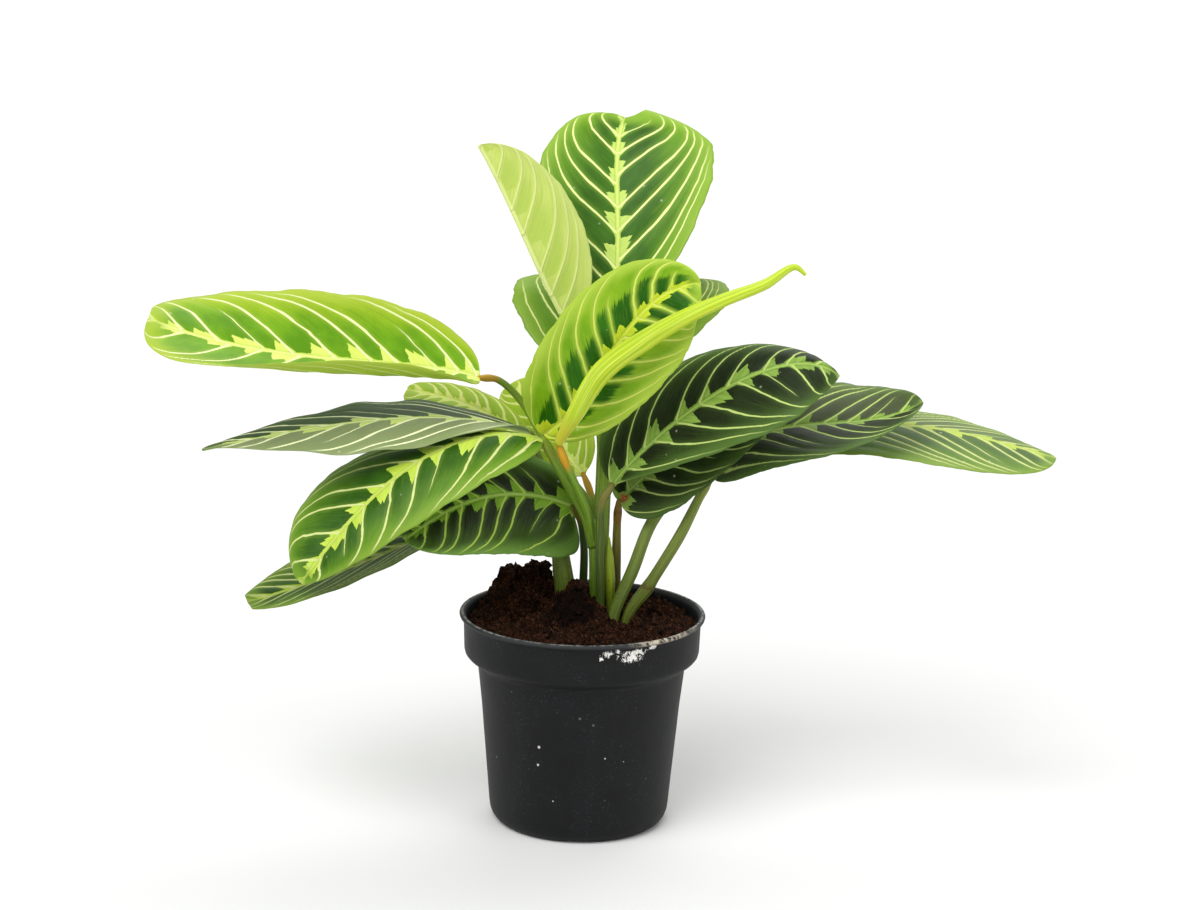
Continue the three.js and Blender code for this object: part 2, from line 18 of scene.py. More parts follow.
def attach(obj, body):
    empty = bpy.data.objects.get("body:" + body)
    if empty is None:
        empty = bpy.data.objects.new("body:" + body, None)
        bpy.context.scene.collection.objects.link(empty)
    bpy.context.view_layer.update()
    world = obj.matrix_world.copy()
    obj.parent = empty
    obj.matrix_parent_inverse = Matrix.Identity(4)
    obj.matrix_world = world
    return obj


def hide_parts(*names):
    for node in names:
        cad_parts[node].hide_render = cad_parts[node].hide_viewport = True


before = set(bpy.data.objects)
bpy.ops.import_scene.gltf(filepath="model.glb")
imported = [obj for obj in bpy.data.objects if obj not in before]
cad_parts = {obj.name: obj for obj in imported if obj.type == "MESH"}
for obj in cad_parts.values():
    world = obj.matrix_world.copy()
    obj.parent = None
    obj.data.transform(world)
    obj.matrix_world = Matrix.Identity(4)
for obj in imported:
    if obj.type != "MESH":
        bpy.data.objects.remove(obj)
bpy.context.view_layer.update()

# %% [markdown]
# ## The camera
# The photograph was taken from the front, through a long lens. It looks down on the pot's rim at 16
# degrees: a circle seen as an ellipse gives that angle, and the slant of the ellipse the small tilt of the
# camera. The camera itself points less far down, because the pot stands low in the picture. It could be
# aimed with a constraint, but a matrix made from its three directions keeps the tilt exact.

# %% The camera stands where the photograph was taken
PHOTO_WIDTH = 1200
FOCAL_PIXELS = 2733
SENSOR_MM = 36
CAMERA_PLACE = Vector((0, -1.1535, 0.4248))
LOOK_DOWN = math.radians(12.725)
LOOK_RIGHT = math.radians(0.303)
TILT = math.radians(1.3)


def camera_turn():
    """The camera's three directions as a turn: to its right, up, and back."""
    forward, down = math.cos(LOOK_DOWN), math.sin(LOOK_DOWN)
    ahead = Vector((math.sin(LOOK_RIGHT) * forward, math.cos(LOOK_RIGHT) * forward, -down))
    level = ahead.cross(Vector((0, 0, 1))).normalized()
    upright = level.cross(ahead)
    right = level * math.cos(TILT) + upright * math.sin(TILT)
    up = upright * math.cos(TILT) - level * math.sin(TILT)
    return Matrix((right, up, -ahead)).transposed()


lens = bpy.data.cameras.new("photo_camera")
lens.sensor_width = SENSOR_MM
lens.lens = FOCAL_PIXELS * SENSOR_MM / PHOTO_WIDTH
camera = bpy.data.objects.new("photo_camera", lens)
camera.matrix_world = Matrix.Translation(CAMERA_PLACE) @ camera_turn().to_4x4()
bpy.context.scene.collection.objects.link(camera)
bpy.context.scene.camera = camera
print("lens in mm:", round(lens.lens, 2))

# %% [markdown]
# ## Soft light
# A plant for sale is photographed on white, in light that comes from all round, so that nothing throws a
# hard shadow. A dim white sky gives that. Three wide, far lamps then give the leaves their form: a main one
# from the upper left, a weaker one from the right, and one from behind that lights the leaves' edges.
# Panels close by would do it too, but they light the floor in patches, and a far lamp lights all of it
# alike.

# %% The sky and three far lamps
SKY_STRENGTH = 0.45
# Each lamp: the direction that it stands in, its strength, and how many degrees across it looks.
LAMPS = {
    "main_lamp": ((-0.8, -1.2, 1.7), 2.5, 45),
    "right_lamp": ((1.5, -1.0, 1.0), 0.8, 50),
    "back_lamp": ((0.4, 1.2, 1.5), 1.2, 50),
}

for name, (direction, strength, wide) in LAMPS.items():
    light = bpy.data.lights.new(name, "SUN")
    light.energy = strength
    light.angle = math.radians(wide)
    lamp = bpy.data.objects.new(name, light)
    lamp.location = direction
    lamp.rotation_euler = (-Vector(direction)).to_track_quat("-Z", "Y").to_euler()
    bpy.context.scene.collection.objects.link(lamp)

sky = bpy.data.worlds.new("white_studio")
sky.use_nodes = True
sky_light = sky.node_tree.nodes["Background"].inputs
sky_light["Color"].default_value = (1, 1, 1, 1)
sky_light["Strength"].default_value = SKY_STRENGTH
bpy.context.scene.world = sky
print("lamps:", len(LAMPS))

# %% [markdown]
# ## The floor
# The floor is white paper. It is one large plane, so large that its far edge stays near the horizon when
# the plant is seen from the side. A curved backdrop would hide the edge altogether, but only from one side.

# %% The paper floor
FLOOR_METRES = 120
PAPER_WHITE = (0.74, 0.74, 0.74, 1)
PAPER_ROUGHNESS = 0.9

bpy.ops.mesh.primitive_plane_add(size=FLOOR_METRES, location=(0, 0, 0))
floor = bpy.context.object
floor.name = "studio_floor"
paper = bpy.data.materials.new("white_paper")
paper.use_nodes = True
paper_skin = paper.node_tree.nodes["Principled BSDF"].inputs
paper_skin["Base Color"].default_value = PAPER_WHITE
paper_skin["Roughness"].default_value = PAPER_ROUGHNESS
floor.data.materials.append(paper)
print("floor in metres:", FLOOR_METRES)

# %% [markdown]
# ## Making a piece from rows of places
# Leaves, stems, pot and soil are all sheets or tubes, so each can be written as rows of places joined by
# faces. A modifier stack could do some of it, but a formula keeps each fine piece exactly where its solid
# is.

# %% Faces between rows of places
def woven(rows, columns, first=0, closed=False, flip=False):
    """Faces between the places of a grid stored row by row; `closed` joins the last column to the first."""
    spans = columns if closed else columns - 1
    row, column = np.meshgrid(np.arange(rows - 1), np.arange(spans), indexing="ij")
    near = (first + row * columns + column).ravel()
    beside = (first + row * columns + (column + 1) % columns).ravel()
    corners = np.stack([near, beside, beside + columns, near + columns], axis=1)
    return (corners[:, ::-1] if flip else corners).tolist()


def end_fans(rows, sides, flip=False):
    """Faces that close both ends of a grid of rings; the two end middles are stored after the rings."""
    middle, last = rows * sides, (rows - 1) * sides
    fans = []
    for side in range(sides):
        beside = (side + 1) % sides
        for centre, near, far in ((middle, beside, side), (middle + 1, last + side, last + beside)):
            fans.append([centre, far, near] if flip else [centre, near, far])
    return fans


print("faces of a tube with 3 rings of 8:", len(woven(3, 8, closed=True)) + len(end_fans(3, 8)))

# %% [markdown]
# Sizes are typed in millimetres, as a maker measures, and turned into metres in one place, where the mesh
# is made. A piece also rides on the plant's one body and says which solids it stands for.

# %% Places in millimetres become a piece
MM = 0.001


def make_piece(name, places, faces, finishes, stands_for, slot):
    """A smooth piece that rides with the plant and stands for the named solids."""
    mesh = bpy.data.meshes.new(name)
    mesh.from_pydata((np.asarray(places) * MM).tolist(), [], faces)
    mesh.polygons.foreach_set("use_smooth", [True] * len(mesh.polygons))
    for finish in finishes:
        mesh.materials.append(finish)
    mesh.update()
    piece = bpy.data.objects.new(name, mesh)
    bpy.context.scene.collection.objects.link(piece)
    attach(piece, "root")
    if stands_for:
        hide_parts(*stands_for)
    print(name, "has", len(faces), "faces")
    return piece


def note(piece, name, values):
    """Keeps three numbers for each place of the mesh, for the finish to read by name."""
    numbers = piece.data.attributes.new(name, "FLOAT_VECTOR", "POINT")
    numbers.data.foreach_set("vector", np.asarray(values, np.float32).ravel())


# %% [markdown]
# ## Writing finishes as sums
# A shader pattern is arithmetic: how far a point is from a vein, how that distance is softened, which
# colour wins. Each step of it is a node. Wiring them by hand takes many lines, so a small class stands for
# one wire: adding or multiplying two wires makes the node that does it, and a formula then reads as it
# would on paper.

# %% A wire stands for one value of a finish
class Wire:
    """One output of a shader node; sums on wires make the nodes that work them out."""

    def __init__(self, tree, socket):
        self.tree = tree
        self.socket = socket

    def sum(self, operation, *others):
        node = self.tree.nodes.new("ShaderNodeMath")
        node.operation = operation
        for slot, value in zip(node.inputs, (self, *others)):
            feed(self.tree, value, slot)
        return Wire(self.tree, node.outputs[0])

    def __add__(self, other):
        return self.sum("ADD", other)

    def __sub__(self, other):
        return self.sum("SUBTRACT", other)

    def __mul__(self, other):
        return self.sum("MULTIPLY", other)

    def __truediv__(self, other):
        return self.sum("DIVIDE", other)

    def flipped(self):
        """One minus the value."""
        return self * -1 + 1

    def size(self):
        return self.sum("ABSOLUTE")

    def share(self):
        """What is left of the value after its whole number."""
        return self.sum("FRACT")

    def whole(self):
        return self.sum("FLOOR")

    def most(self, other):
        return self.sum("MAXIMUM", other)

    def least(self, other):
        return self.sum("MINIMUM", other)

    def rise(self, low, high):
        """Nothing below `low`, one above `high`, and a soft step between."""
        node = self.tree.nodes.new("ShaderNodeMapRange")
        node.interpolation_type = "SMOOTHSTEP"
        for value, slot in zip((self, low, high), ("Value", "From Min", "From Max")):
            feed(self.tree, value, node.inputs[slot])
        return Wire(self.tree, node.outputs[0])


def feed(tree, value, slot):
    """Joins a wire to a node's input, or types a number or colour into it."""
    if isinstance(value, Wire):
        tree.links.new(value.socket, slot)
    else:
        slot.default_value = value


# %% [markdown]
# Colours are picked on a screen, where a code such as 2e4214 names a dark green. The shader counts light
# instead, so the code is turned into shares of light. Two colours are then laid over each other with a mix
# node.

# %% Colours and how they are mixed
COLOUR_INPUTS = ("Factor", 6, 7)
COLOUR_OUTPUT = 2


def tint(code):
    """A colour as the shader wants it, from the code of the colour on a screen."""
    shades = [int(code[i:i + 2], 16) / 255 for i in (0, 2, 4)]
    return (*[s / 12.92 if s <= 0.04045 else ((s + 0.055) / 1.055) ** 2.4 for s in shades], 1)


def mix(share, first, second):
    """`first` where share is nothing, `second` where it is one."""
    node = share.tree.nodes.new("ShaderNodeMix")
    node.data_type = "RGBA"
    for value, slot in zip((share, first, second), COLOUR_INPUTS):
        feed(share.tree, value, node.inputs[slot])
    return Wire(share.tree, node.outputs[COLOUR_OUTPUT])


print("2e4214 as light:", [round(part, 3) for part in tint("2e4214")])

# %% [markdown]
# Nothing on a plant is even, so each finish starts from places and chance: soft clouds for mottling, a net
# of cells for specks, and fixed draws that give each vein its own tooth. All are worked out from numbers
# that lie on the object itself, so the pattern stays put from every side. Painted images would repeat, and
# blur close by.

# %% Places, clouds and random draws
def together(tree, *numbers):
    """Up to three numbers as one place."""
    node = tree.nodes.new("ShaderNodeCombineXYZ")
    for slot, number in zip(node.inputs, numbers):
        feed(tree, number, slot)
    return Wire(tree, node.outputs[0])


def apart(place):
    """The three numbers of a place."""
    node = place.tree.nodes.new("ShaderNodeSeparateXYZ")
    feed(place.tree, place, node.inputs[0])
    return [Wire(place.tree, output) for output in node.outputs]


def where(tree):
    """The place on the object, in metres."""
    return Wire(tree, tree.nodes.new("ShaderNodeTexCoord").outputs["Object"])


def kept(tree, name):
    """The numbers that a piece keeps under this name."""
    node = tree.nodes.new("ShaderNodeAttribute")
    node.attribute_name = name
    return Wire(tree, node.outputs["Vector"])


def cloud(tree, place, scale, detail=2, rough=0.5):
    """Soft random mottling, from nothing to one."""
    node = tree.nodes.new("ShaderNodeTexNoise")
    feed(tree, place, node.inputs["Vector"])
    for slot, value in zip(("Scale", "Detail", "Roughness"), (scale, detail, rough)):
        node.inputs[slot].default_value = value
    return Wire(tree, node.outputs["Fac"])


def net(tree, scale):
    """Cells strewn through the object: the distance from a cell's middle, and the cell's three draws."""
    node = tree.nodes.new("ShaderNodeTexVoronoi")
    node.inputs["Scale"].default_value = scale
    feed(tree, where(tree), node.inputs["Vector"])
    return Wire(tree, node.outputs["Distance"]), apart(Wire(tree, node.outputs["Color"]))


def lot(tree, *numbers):
    """A fixed random draw, from nothing to one, for each set of numbers."""
    node = tree.nodes.new("ShaderNodeTexWhiteNoise")
    feed(tree, together(tree, *numbers), node.inputs["Vector"])
    return Wire(tree, node.outputs["Value"])


# %% [markdown]
# Every finish ends in one skin, the shader that answers the light. Values that are the same all over, such
# as how glossy it is, are typed on the skin itself. Relief too small for the mesh, such as grain, is a bump
# node.

# %% An empty finish and its small relief
def new_finish(name, **settings):
    """An empty finish; the settings are typed on its skin."""
    material = bpy.data.materials.new(name)
    material.use_nodes = True
    skin = material.node_tree.nodes["Principled BSDF"]
    for socket, value in settings.items():
        skin.inputs[socket.replace("_", " ")].default_value = value
    return material, material.node_tree, skin


def bumps(tree, skin, height, depth_mm):
    """Small relief that the mesh doesn't hold."""
    node = tree.nodes.new("ShaderNodeBump")
    node.inputs["Distance"].default_value = depth_mm * MM
    feed(tree, height, node.inputs["Height"])
    tree.links.new(node.outputs["Normal"], skin.inputs["Normal"])


# %% [markdown]
# ## The pot
# A nursery pot is formed from thin black plastic: a rolled lip, a straight collar that pots stack by, a
# step, a tapering wall and a rounded foot. Turning a profile round the axis is how its mould was cut, so it
# is also the way here. The profile runs from the middle of the underside, up the outside, over the lip and
# down the inside.

# %% The pot's profile
POT_SIDES = 192
# Radius and height of each stop of the profile, in millimetres.
POT_PROFILE = [
    (0, 1.6), (12, 1.5), (24, 1.3), (30.5, 1.1), (32.2, 0.3), (33.4, 0), (34.9, 0.1), (36.4, 0.6),
    (37.8, 1.7), (38.8, 3.2), (39.5, 5.2), (39.9, 8), (40.2, 12), (41.2, 24), (42.4, 38), (43.6, 52),
    (44.9, 64), (45.5, 69), (45.9, 71.4), (46.8, 72.6), (48.8, 73.8), (50.4, 74.9), (51.3, 76), (51.7, 77.6),
    (51.9, 84), (52.1, 90.4), (52.3, 91.6), (53.1, 91.9), (53.8, 92.3), (54, 93), (53.7, 93.7), (53.1, 94),
    (52.3, 93.9), (51.5, 93.2), (50.9, 92), (50.6, 88), (50.5, 82), (50.4, 78.4), (49.6, 76.4), (46, 73.4),
    (44.6, 70), (42.6, 52), (40, 24), (37.8, 7), (34, 3.6), (0, 3.4)]


def profile_rings():
    """Radius, angle and height at each place round the pot, with a place more between each two stops."""
    stops = range(len(POT_PROFILE))
    steps = np.linspace(0, len(POT_PROFILE) - 1, 2 * len(POT_PROFILE) - 1)[1:-1]
    radius, height = (np.interp(steps, stops, [stop[part] for stop in POT_PROFILE]) for part in (0, 1))
    turn = np.linspace(0, 2 * np.pi, POT_SIDES, endpoint=False)
    radius, angle = np.meshgrid(radius, turn, indexing="ij")
    height = np.meshgrid(height, turn, indexing="ij")[0]
    return radius, angle, height


print("stops in the profile:", len(POT_PROFILE))

# %% [markdown]
# Thin plastic is never quite round, so the wall is pushed in and out by a fraction of a millimetre, more so
# higher up. The foot ring has four low notches that let water out from under the pot.

# %% The pot, a little out of round
NOTCHES = 4
NOTCH_HEIGHT = 1.5
NOTCH_SHARPNESS = 6
NOTCH_GAP = 4.6
FOOT_RING = 33
FOOT_RING_WIDTH = 3
FOOT_RING_TOP = 4
# How far the wall is out of round, in millimetres, in two waves and in five; it is full from this height up.
OUT_OF_ROUND = (0.22, 0.12)
OUT_OF_ROUND_FROM = 40
# A hair narrower than the solid, so that the uneven wall hardly reaches past it.
SLIMMER = 0.004


def pot_places():
    """The places of the pot's rings, notched and slightly out of round."""
    radius, angle, height = profile_rings()
    foot = np.exp(-((radius - FOOT_RING) / FOOT_RING_WIDTH) ** 2) * (height < FOOT_RING_TOP)
    notch = np.clip(np.cos(NOTCHES * (angle + np.pi / 2)) * NOTCH_SHARPNESS - NOTCH_GAP, 0, 1)
    slack = OUT_OF_ROUND[0] * np.sin(2 * angle + 0.6) + OUT_OF_ROUND[1] * np.sin(5 * angle)
    height = height + NOTCH_HEIGHT * foot * notch
    radius = radius * (1 - SLIMMER) + slack * np.clip(height / OUT_OF_ROUND_FROM, 0, 1)
    return np.stack([radius * np.cos(angle), radius * np.sin(angle), height], axis=-1)


pot_rings = pot_places()
pot_ends = [[0, 0, POT_PROFILE[0][1]], [0, 0, POT_PROFILE[-1][1]]]
pot_list = np.vstack([pot_rings.reshape(-1, 3), pot_ends])
pot_faces = woven(len(pot_rings), POT_SIDES, closed=True) + end_fans(len(pot_rings), POT_SIDES)
print("pot places:", len(pot_list))

# %% [markdown]
# Old pots aren't plain black. Dust dulls them, runs of water leave streaks, and specks of lime dry on the
# wall. The plastic starts nearly black and each of these is laid over it in turn, the broad ones first.

# %% Dust, streaks and dried specks
STREAK_STRETCH = (90, 90, 14)
SPECK_CELLS = 170


def dusty_plastic(tree, dust, streaks):
    """Black plastic under dust, streaks, specks and grit."""
    colour = mix(dust.rise(0.35, 0.75), tint("0b0c0d"), tint("111214"))
    colour = mix(streaks.rise(0.55, 0.8) * 0.4, colour, tint("1a1b1d"))
    from_middle, draws = net(tree, SPECK_CELLS)
    speck = from_middle.rise(0.05, 0.14).flipped() * draws[0].rise(0.88, 0.9)
    colour = mix(speck * 0.35, colour, tint("8c9294"))
    grit = cloud(tree, where(tree), 1400, 3, 0.6)
    return mix(grit.rise(0.62, 0.72) * dust.rise(0.4, 0.6) * 0.4, colour, tint("5c6064"))


def rubbed_rim(colour, place, dust):
    """The same colour with a rim rubbed grey, palest at the front right."""
    x, y, z = apart(place)
    rubbed = cloud(place.tree, place, 420, 4, 0.7)
    rim = z.rise(0.0915, 0.0932)
    front_right = x.rise(0.018, 0.034) * y.rise(-0.05, -0.012).flipped()
    colour = mix(rim * (dust * 0.4 + 0.02), colour, tint("55595a"))
    colour = mix(z.rise(0.09365, 0.0941) * rubbed.rise(0.4, 0.6) * 0.75, colour, tint("9a9c98"))
    return mix(rim * front_right * rubbed.rise(0.4, 0.52), colour, tint("c9bca8"))


# %% [markdown]
# This pot also carries a white scuff under the lip at the front right, and a few white dots low on the
# wall. Images could hold these marks. Here each is a place and a size, with an edge broken up by mottling,
# so it stays sharp at any distance.

# %% White scuffs and dots
# Each mark on the front of the pot: its x and z, and half its width and height, in millimetres.
SCUFFS = [(21, 87.8, 4.8, 2.2), (23.5, 89.6, 3.4, 1.4), (10.7, 90, 2.6, 1.4), (15.2, 90.9, 1.3, 0.8),
          (8.6, 87.6, 1.2, 0.8), (30.2, 91, 1.4, 0.9)]
# Each dot: its x and z, and half its width. A dot is this much taller than wide.
DOTS = [(-17.4, 44.3, 0.6), (-17.7, 36, 0.5), (11, 40.3, 0.35), (-11, 20, 0.3), (19, 38, 0.2)]
DOT_TALLER = 1.2
RAGGEDNESS = 9


def from_mark(x, z, middle_x, middle_z, wide, tall):
    """Nothing in the middle of a mark on the front, one at its edge."""
    across = (x - middle_x * MM) / (wide * MM)
    down = (z - middle_z * MM) / (tall * MM)
    return across * across + down * down


def white_marks(place):
    """One on a scuff or dot of the pot's front, nothing elsewhere."""
    x, y, z = apart(place)
    ragged = (cloud(place.tree, together(place.tree, x * 1.3, y, z * 0.8), 560, 8, 0.8) - 0.5) * RAGGEDNESS
    front = y.rise(-0.03, -0.02).flipped()
    white = front * 0
    for scuff in SCUFFS:
        edge = from_mark(x, z, *scuff) * 0.7 + ragged
        white = white.most(edge.rise(0.3, 0.5).flipped() * front)
    for middle_x, middle_z, size in DOTS:
        edge = from_mark(x, z, middle_x, middle_z, size, size * DOT_TALLER)
        white = white.most(edge.rise(0.4, 1.2).flipped() * front * 0.7)
    return white


print("scuffs:", len(SCUFFS), "dots:", len(DOTS))

# %% [markdown]
# The marks come together in one finish. Dust and dried lime are rougher than plastic, so they also take
# away its shine, and the streaks stand out a tenth of a millimetre.

# %% The pot in its black plastic
PLASTIC_SHINE = 0.2
PLASTIC_ROUGHNESS = 0.46
STREAK_RELIEF = 0.12


def pot_finish():
    material, tree, skin = new_finish("pot_black_plastic", Specular_IOR_Level=PLASTIC_SHINE)
    place = where(tree)
    stretched = [axis * stretch for axis, stretch in zip(apart(place), STREAK_STRETCH)]
    dust = cloud(tree, place, 60, 6, 0.6)
    streaks = cloud(tree, together(tree, *stretched), 1, 3)
    colour = rubbed_rim(dusty_plastic(tree, dust, streaks), place, dust)
    white = white_marks(place)
    feed(tree, mix(white, colour, tint("e4e2dc")), skin.inputs["Base Color"])
    feed(tree, dust * 0.2 + PLASTIC_ROUGHNESS + white * 0.3, skin.inputs["Roughness"])
    bumps(tree, skin, cloud(tree, place, 900, 3) * 0.4 + streaks * 0.6, STREAK_RELIEF)
    return material


make_piece("pot_fine", pot_list, pot_faces, [pot_finish()], ["pot"], "pot_plastic")

# %% [markdown]
# ## The peat
# Potting peat is dark fibre and crumbs. It lies level by the wall, with a crumbled heap at the back left
# and a mound round the stems. Its height is a sum: the level, soft heaps, and slow waves. By the wall it
# has settled.

# %% How high the peat lies
SOIL_LEVEL = 88.5
SETTLED_FROM = 44
SETTLED_SHARE = 0.4
CLOD_HEIGHT = 0.9
# Heaps: middle x and y, radius, height, and how flat the top is.
HEAPS = [(-31, 25, 16, 17, 4), (-14, 23, 8, 8, 4), (-4, 5, 11, 13, 2), (4, 12, 16, 5, 2), (5, -3, 6, 3, 2),
         (36, 22, 14, 3, 2)]


def soil_height(x, y):
    """The peat's height in millimetres, before its crumbs."""
    clods = np.sin(x * 0.42 + 1) * np.sin(y * 0.38) + 0.6 * np.sin(x * 0.9 + y * 0.7)
    heaped = 0
    for middle_x, middle_y, radius, height, flat in HEAPS:
        away = np.hypot(x - middle_x, y - middle_y) / radius
        heaped = heaped + height * np.exp(-(away ** flat))
    settle = np.where(np.hypot(x, y) > SETTLED_FROM, SETTLED_SHARE, 1)
    return SOIL_LEVEL + (heaped + CLOD_HEIGHT * clods) * settle


print("peat in the middle, in mm:", round(float(soil_height(0, 0)), 1))

# %% [markdown]
# A smooth surface looks like carpet, so it gets rough relief: soft swells, and round clods with creases
# between them, which come from a noise folded at nothing. The heaps are looser than the rest, so they are
# also rougher.

# %% The peat's rough relief
# Each layer: how many to a millimetre, and its depth in millimetres.
SWELLS = ((0.16, 1.4), (0.35, 0.8))
CLODS = ((0.2, 1.2), (0.42, 0.9), (1, 0.6))
CLOD_MIDDLE = 0.45
LOOSE_HEIGHT = 12
LOOSER = 0.7


def crumble(x, y):
    """The relief at one place: soft swells, then round clods of three sizes."""
    total = 0
    for scale, depth in SWELLS:
        total += depth * noise.noise(Vector((x * scale, y * scale, scale * 7)))
    for scale, depth in CLODS:
        folded = abs(noise.noise(Vector((x * scale, y * scale, 3 + scale))))
        total += depth * (2 * folded - CLOD_MIDDLE)
    return total


def rough_height(x, y, rough):
    """The peat's height with its relief, which is stronger where the peat is heaped."""
    height = soil_height(x, y)
    heaped = np.clip(height - SOIL_LEVEL, 0, LOOSE_HEIGHT) / LOOSE_HEIGHT
    return height + rough * (1 + LOOSER * heaped)


print("relief in the middle, in mm:", round(crumble(0, 0), 2))

# %% [markdown]
# The surface is a grid of rings, closer together near the wall. Three more rings below it close the block
# of soil, so that the piece is solid and nothing shows through from the side.

# %% The peat's surface
SOIL_RADIUS = 50.1
SOIL_RINGS = 150
SOIL_SIDES = 400
RING_CROWDING = 0.8
# The rings under the edge: their share of its radius, and their height.
SOIL_BELOW = [(1, 78), (0.86, 70), (0.72, 4.2)]


def soil_places():
    """The places of the surface, ring by ring, and the relief at each."""
    radius = SOIL_RADIUS * np.linspace(0.01, 1, SOIL_RINGS) ** RING_CROWDING
    turn = np.linspace(0, 2 * np.pi, SOIL_SIDES, endpoint=False)
    radius, turn = np.meshgrid(radius, turn, indexing="ij")
    x, y = radius * np.cos(turn), radius * np.sin(turn)
    rough = np.array([crumble(a, b) for a, b in zip(x.ravel(), y.ravel())]).reshape(x.shape)
    return np.stack([x, y, rough_height(x, y, rough)], axis=-1), rough


surface, relief = soil_places()
below = [surface[-1:] * [share, share, 0] + [0, 0, height] for share, height in SOIL_BELOW]
soil_grid = np.concatenate([surface, *below])
soil_ends = [[0, 0, surface[0, :, 2].mean()], [0, 0, SOIL_BELOW[-1][1]]]
soil_list = np.vstack([soil_grid.reshape(-1, 3), soil_ends])
soil_faces = woven(len(soil_grid), SOIL_SIDES, closed=True, flip=True)
soil_faces += end_fans(len(soil_grid), SOIL_SIDES, flip=True)
print("peat from", round(surface[..., 2].min(), 1), "to", round(surface[..., 2].max(), 1), "mm high")

# %% [markdown]
# Peat is painted nearly black in its creases, as painted shade, and reddish brown where it stands up, as dry
# peat together with painted light, with paler threads of root all through it and a white grain here and
# there. The hollow in front of the stems is painted darker, as a painted shadow under the mound's front.

# %% The peat's finish
PEAT_ROUGHNESS = 0.95
PEAT_SHINE = 0.08
PEAT_RELIEF = 1.6
THREADS_TO_METRE = 420
GRAIN_CELLS = 520
# How far left and in front of the pot's middle the hollow's painted shadow is, and half its width and depth,
# in mm.
SHADOW_HOLLOW_LEFT = 5
SHADOW_HOLLOW_FRONT = 4.5
SHADOW_HOLLOW_HALVES = (11, 7.5)


def threads(tree, x, y, z):
    """Thin root threads: clouds drawn out once along and once across."""
    one_way, other_way = (together(tree, *places) for places in ((x * 4, y, z * 2), (x, y * 4, z * 2)))
    return cloud(tree, one_way, THREADS_TO_METRE, 3).most(cloud(tree, other_way, THREADS_TO_METRE, 3))


def peat_finish(name, dark, brown, red):
    material, tree, skin = new_finish(name, Roughness=PEAT_ROUGHNESS, Specular_IOR_Level=PEAT_SHINE)
    place = where(tree)
    x, y, z = apart(place)
    lumps = cloud(tree, place, 240, 6, 0.7)
    grains = cloud(tree, place, 1300, 4, 0.7)
    # The relief darkens the creases as painted shade and leaves the raised tops brown, partly as painted
    # light.
    relief_for_crease_shade = apart(kept(tree, "soil_relief"))[0]
    colour = mix(lumps.rise(0.34, 0.62) * (relief_for_crease_shade.rise(-1.2, 0.8) * 0.9 + 0.3), tint(dark), tint(brown))
    colour = mix(grains.rise(0.5, 0.68) * (lumps.rise(0.4, 0.6) * 0.7 + 0.2), colour, tint(red))
    colour = mix(threads(tree, x, y, z).rise(0.62, 0.7) * 0.5, colour, tint("7a5232"))
    colour = mix(grains.rise(0.34, 0.48).flipped(), colour, tint("050201"))
    # A painted shadow: the hollow on the mound's front is darkened nearly to black.
    across = (x + SHADOW_HOLLOW_LEFT * MM) / (SHADOW_HOLLOW_HALVES[0] * MM)
    down = (y + SHADOW_HOLLOW_FRONT * MM) / (SHADOW_HOLLOW_HALVES[1] * MM)
    from_shadow_hollow = across * across + down * down + (lumps - 0.5) * 1.5
    colour = mix(from_shadow_hollow.rise(0.3, 1.5).flipped() * 0.8, colour, tint("080403"))
    from_middle, draws = net(tree, GRAIN_CELLS)
    grain = from_middle.rise(0.12, 0.25).flipped() * draws[0].rise(0.985, 0.99)
    feed(tree, mix(grain * 0.6, colour, tint("a89c88")), skin.inputs["Base Color"])
    bumps(tree, skin, lumps * 0.6 + grains * 0.5, PEAT_RELIEF)
    return material


peat = peat_finish("peat", "0a0503", "29160d", "643620")
peat_piece = make_piece("peat_surface", soil_list, soil_faces, [peat], ["soil"], "soil")
heights = np.zeros((len(soil_list), 3))
heights[:relief.size, 0] = relief.ravel()
note(peat_piece, "soil_relief", heights)

# %% [markdown]
# ## Loose crumbs
# Crumbs break off the surface and lie on it. A crumb is a small ball with its places pushed in and out at
# random. A few shapes, turned and sized by chance, are enough that no two look alike. All of them are
# joined in one mesh, and every draw is seeded, so that each run gives the same pot of soil.

# %% The shape of a crumb
CRUMB_SHAPES = 8
CRUMB_ROUGHNESS = 0.75
CRUMB_DETAIL = 2.6
SEED_STEP = 3.7


def crumb_shape(seed):
    """One rough little lump, about one across."""
    ball = bmesh.new()
    bmesh.ops.create_icosphere(ball, subdivisions=2, radius=0.5)
    places = np.array([v.co for v in ball.verts])
    faces = [[v.index for v in f.verts] for f in ball.faces]
    ball.free()
    own = Vector((seed, 0, 0))
    push = [1 + CRUMB_ROUGHNESS * noise.noise(Vector(place) * CRUMB_DETAIL + own) for place in places]
    return places * np.array(push)[:, None], faces


def joined(parts):
    """Several pairs of places and faces as one pair."""
    places, faces, count = [], [], 0
    for part, part_faces in parts:
        places.append(part)
        faces += [[index + count for index in face] for face in part_faces]
        count += len(part)
    return np.vstack(places), faces


crumb_shapes = [crumb_shape(number * SEED_STEP) for number in range(CRUMB_SHAPES)]
print("faces of a crumb:", len(crumb_shapes[0][1]))

# %% [markdown]
# Every third crumb falls on the heap, where the peat was tipped in, and the others fall anywhere. Small
# crumbs are far more common than big ones, which a power of the draw gives.

# %% Crumbs strewn over the peat
draw = random.Random(41)
CRUMBS = 1600
CRUMB_REACH = 48.5
HEAP_MIDDLE = (-26, 25)
HEAP_REACH = 15
SMALLEST_CRUMB = 0.7
CRUMB_RANGE = 3.6
SMALL_ONES = 4
# How far a crumb's middle lies above the surface, as a share of its size.
CRUMB_LIFT = 0.12
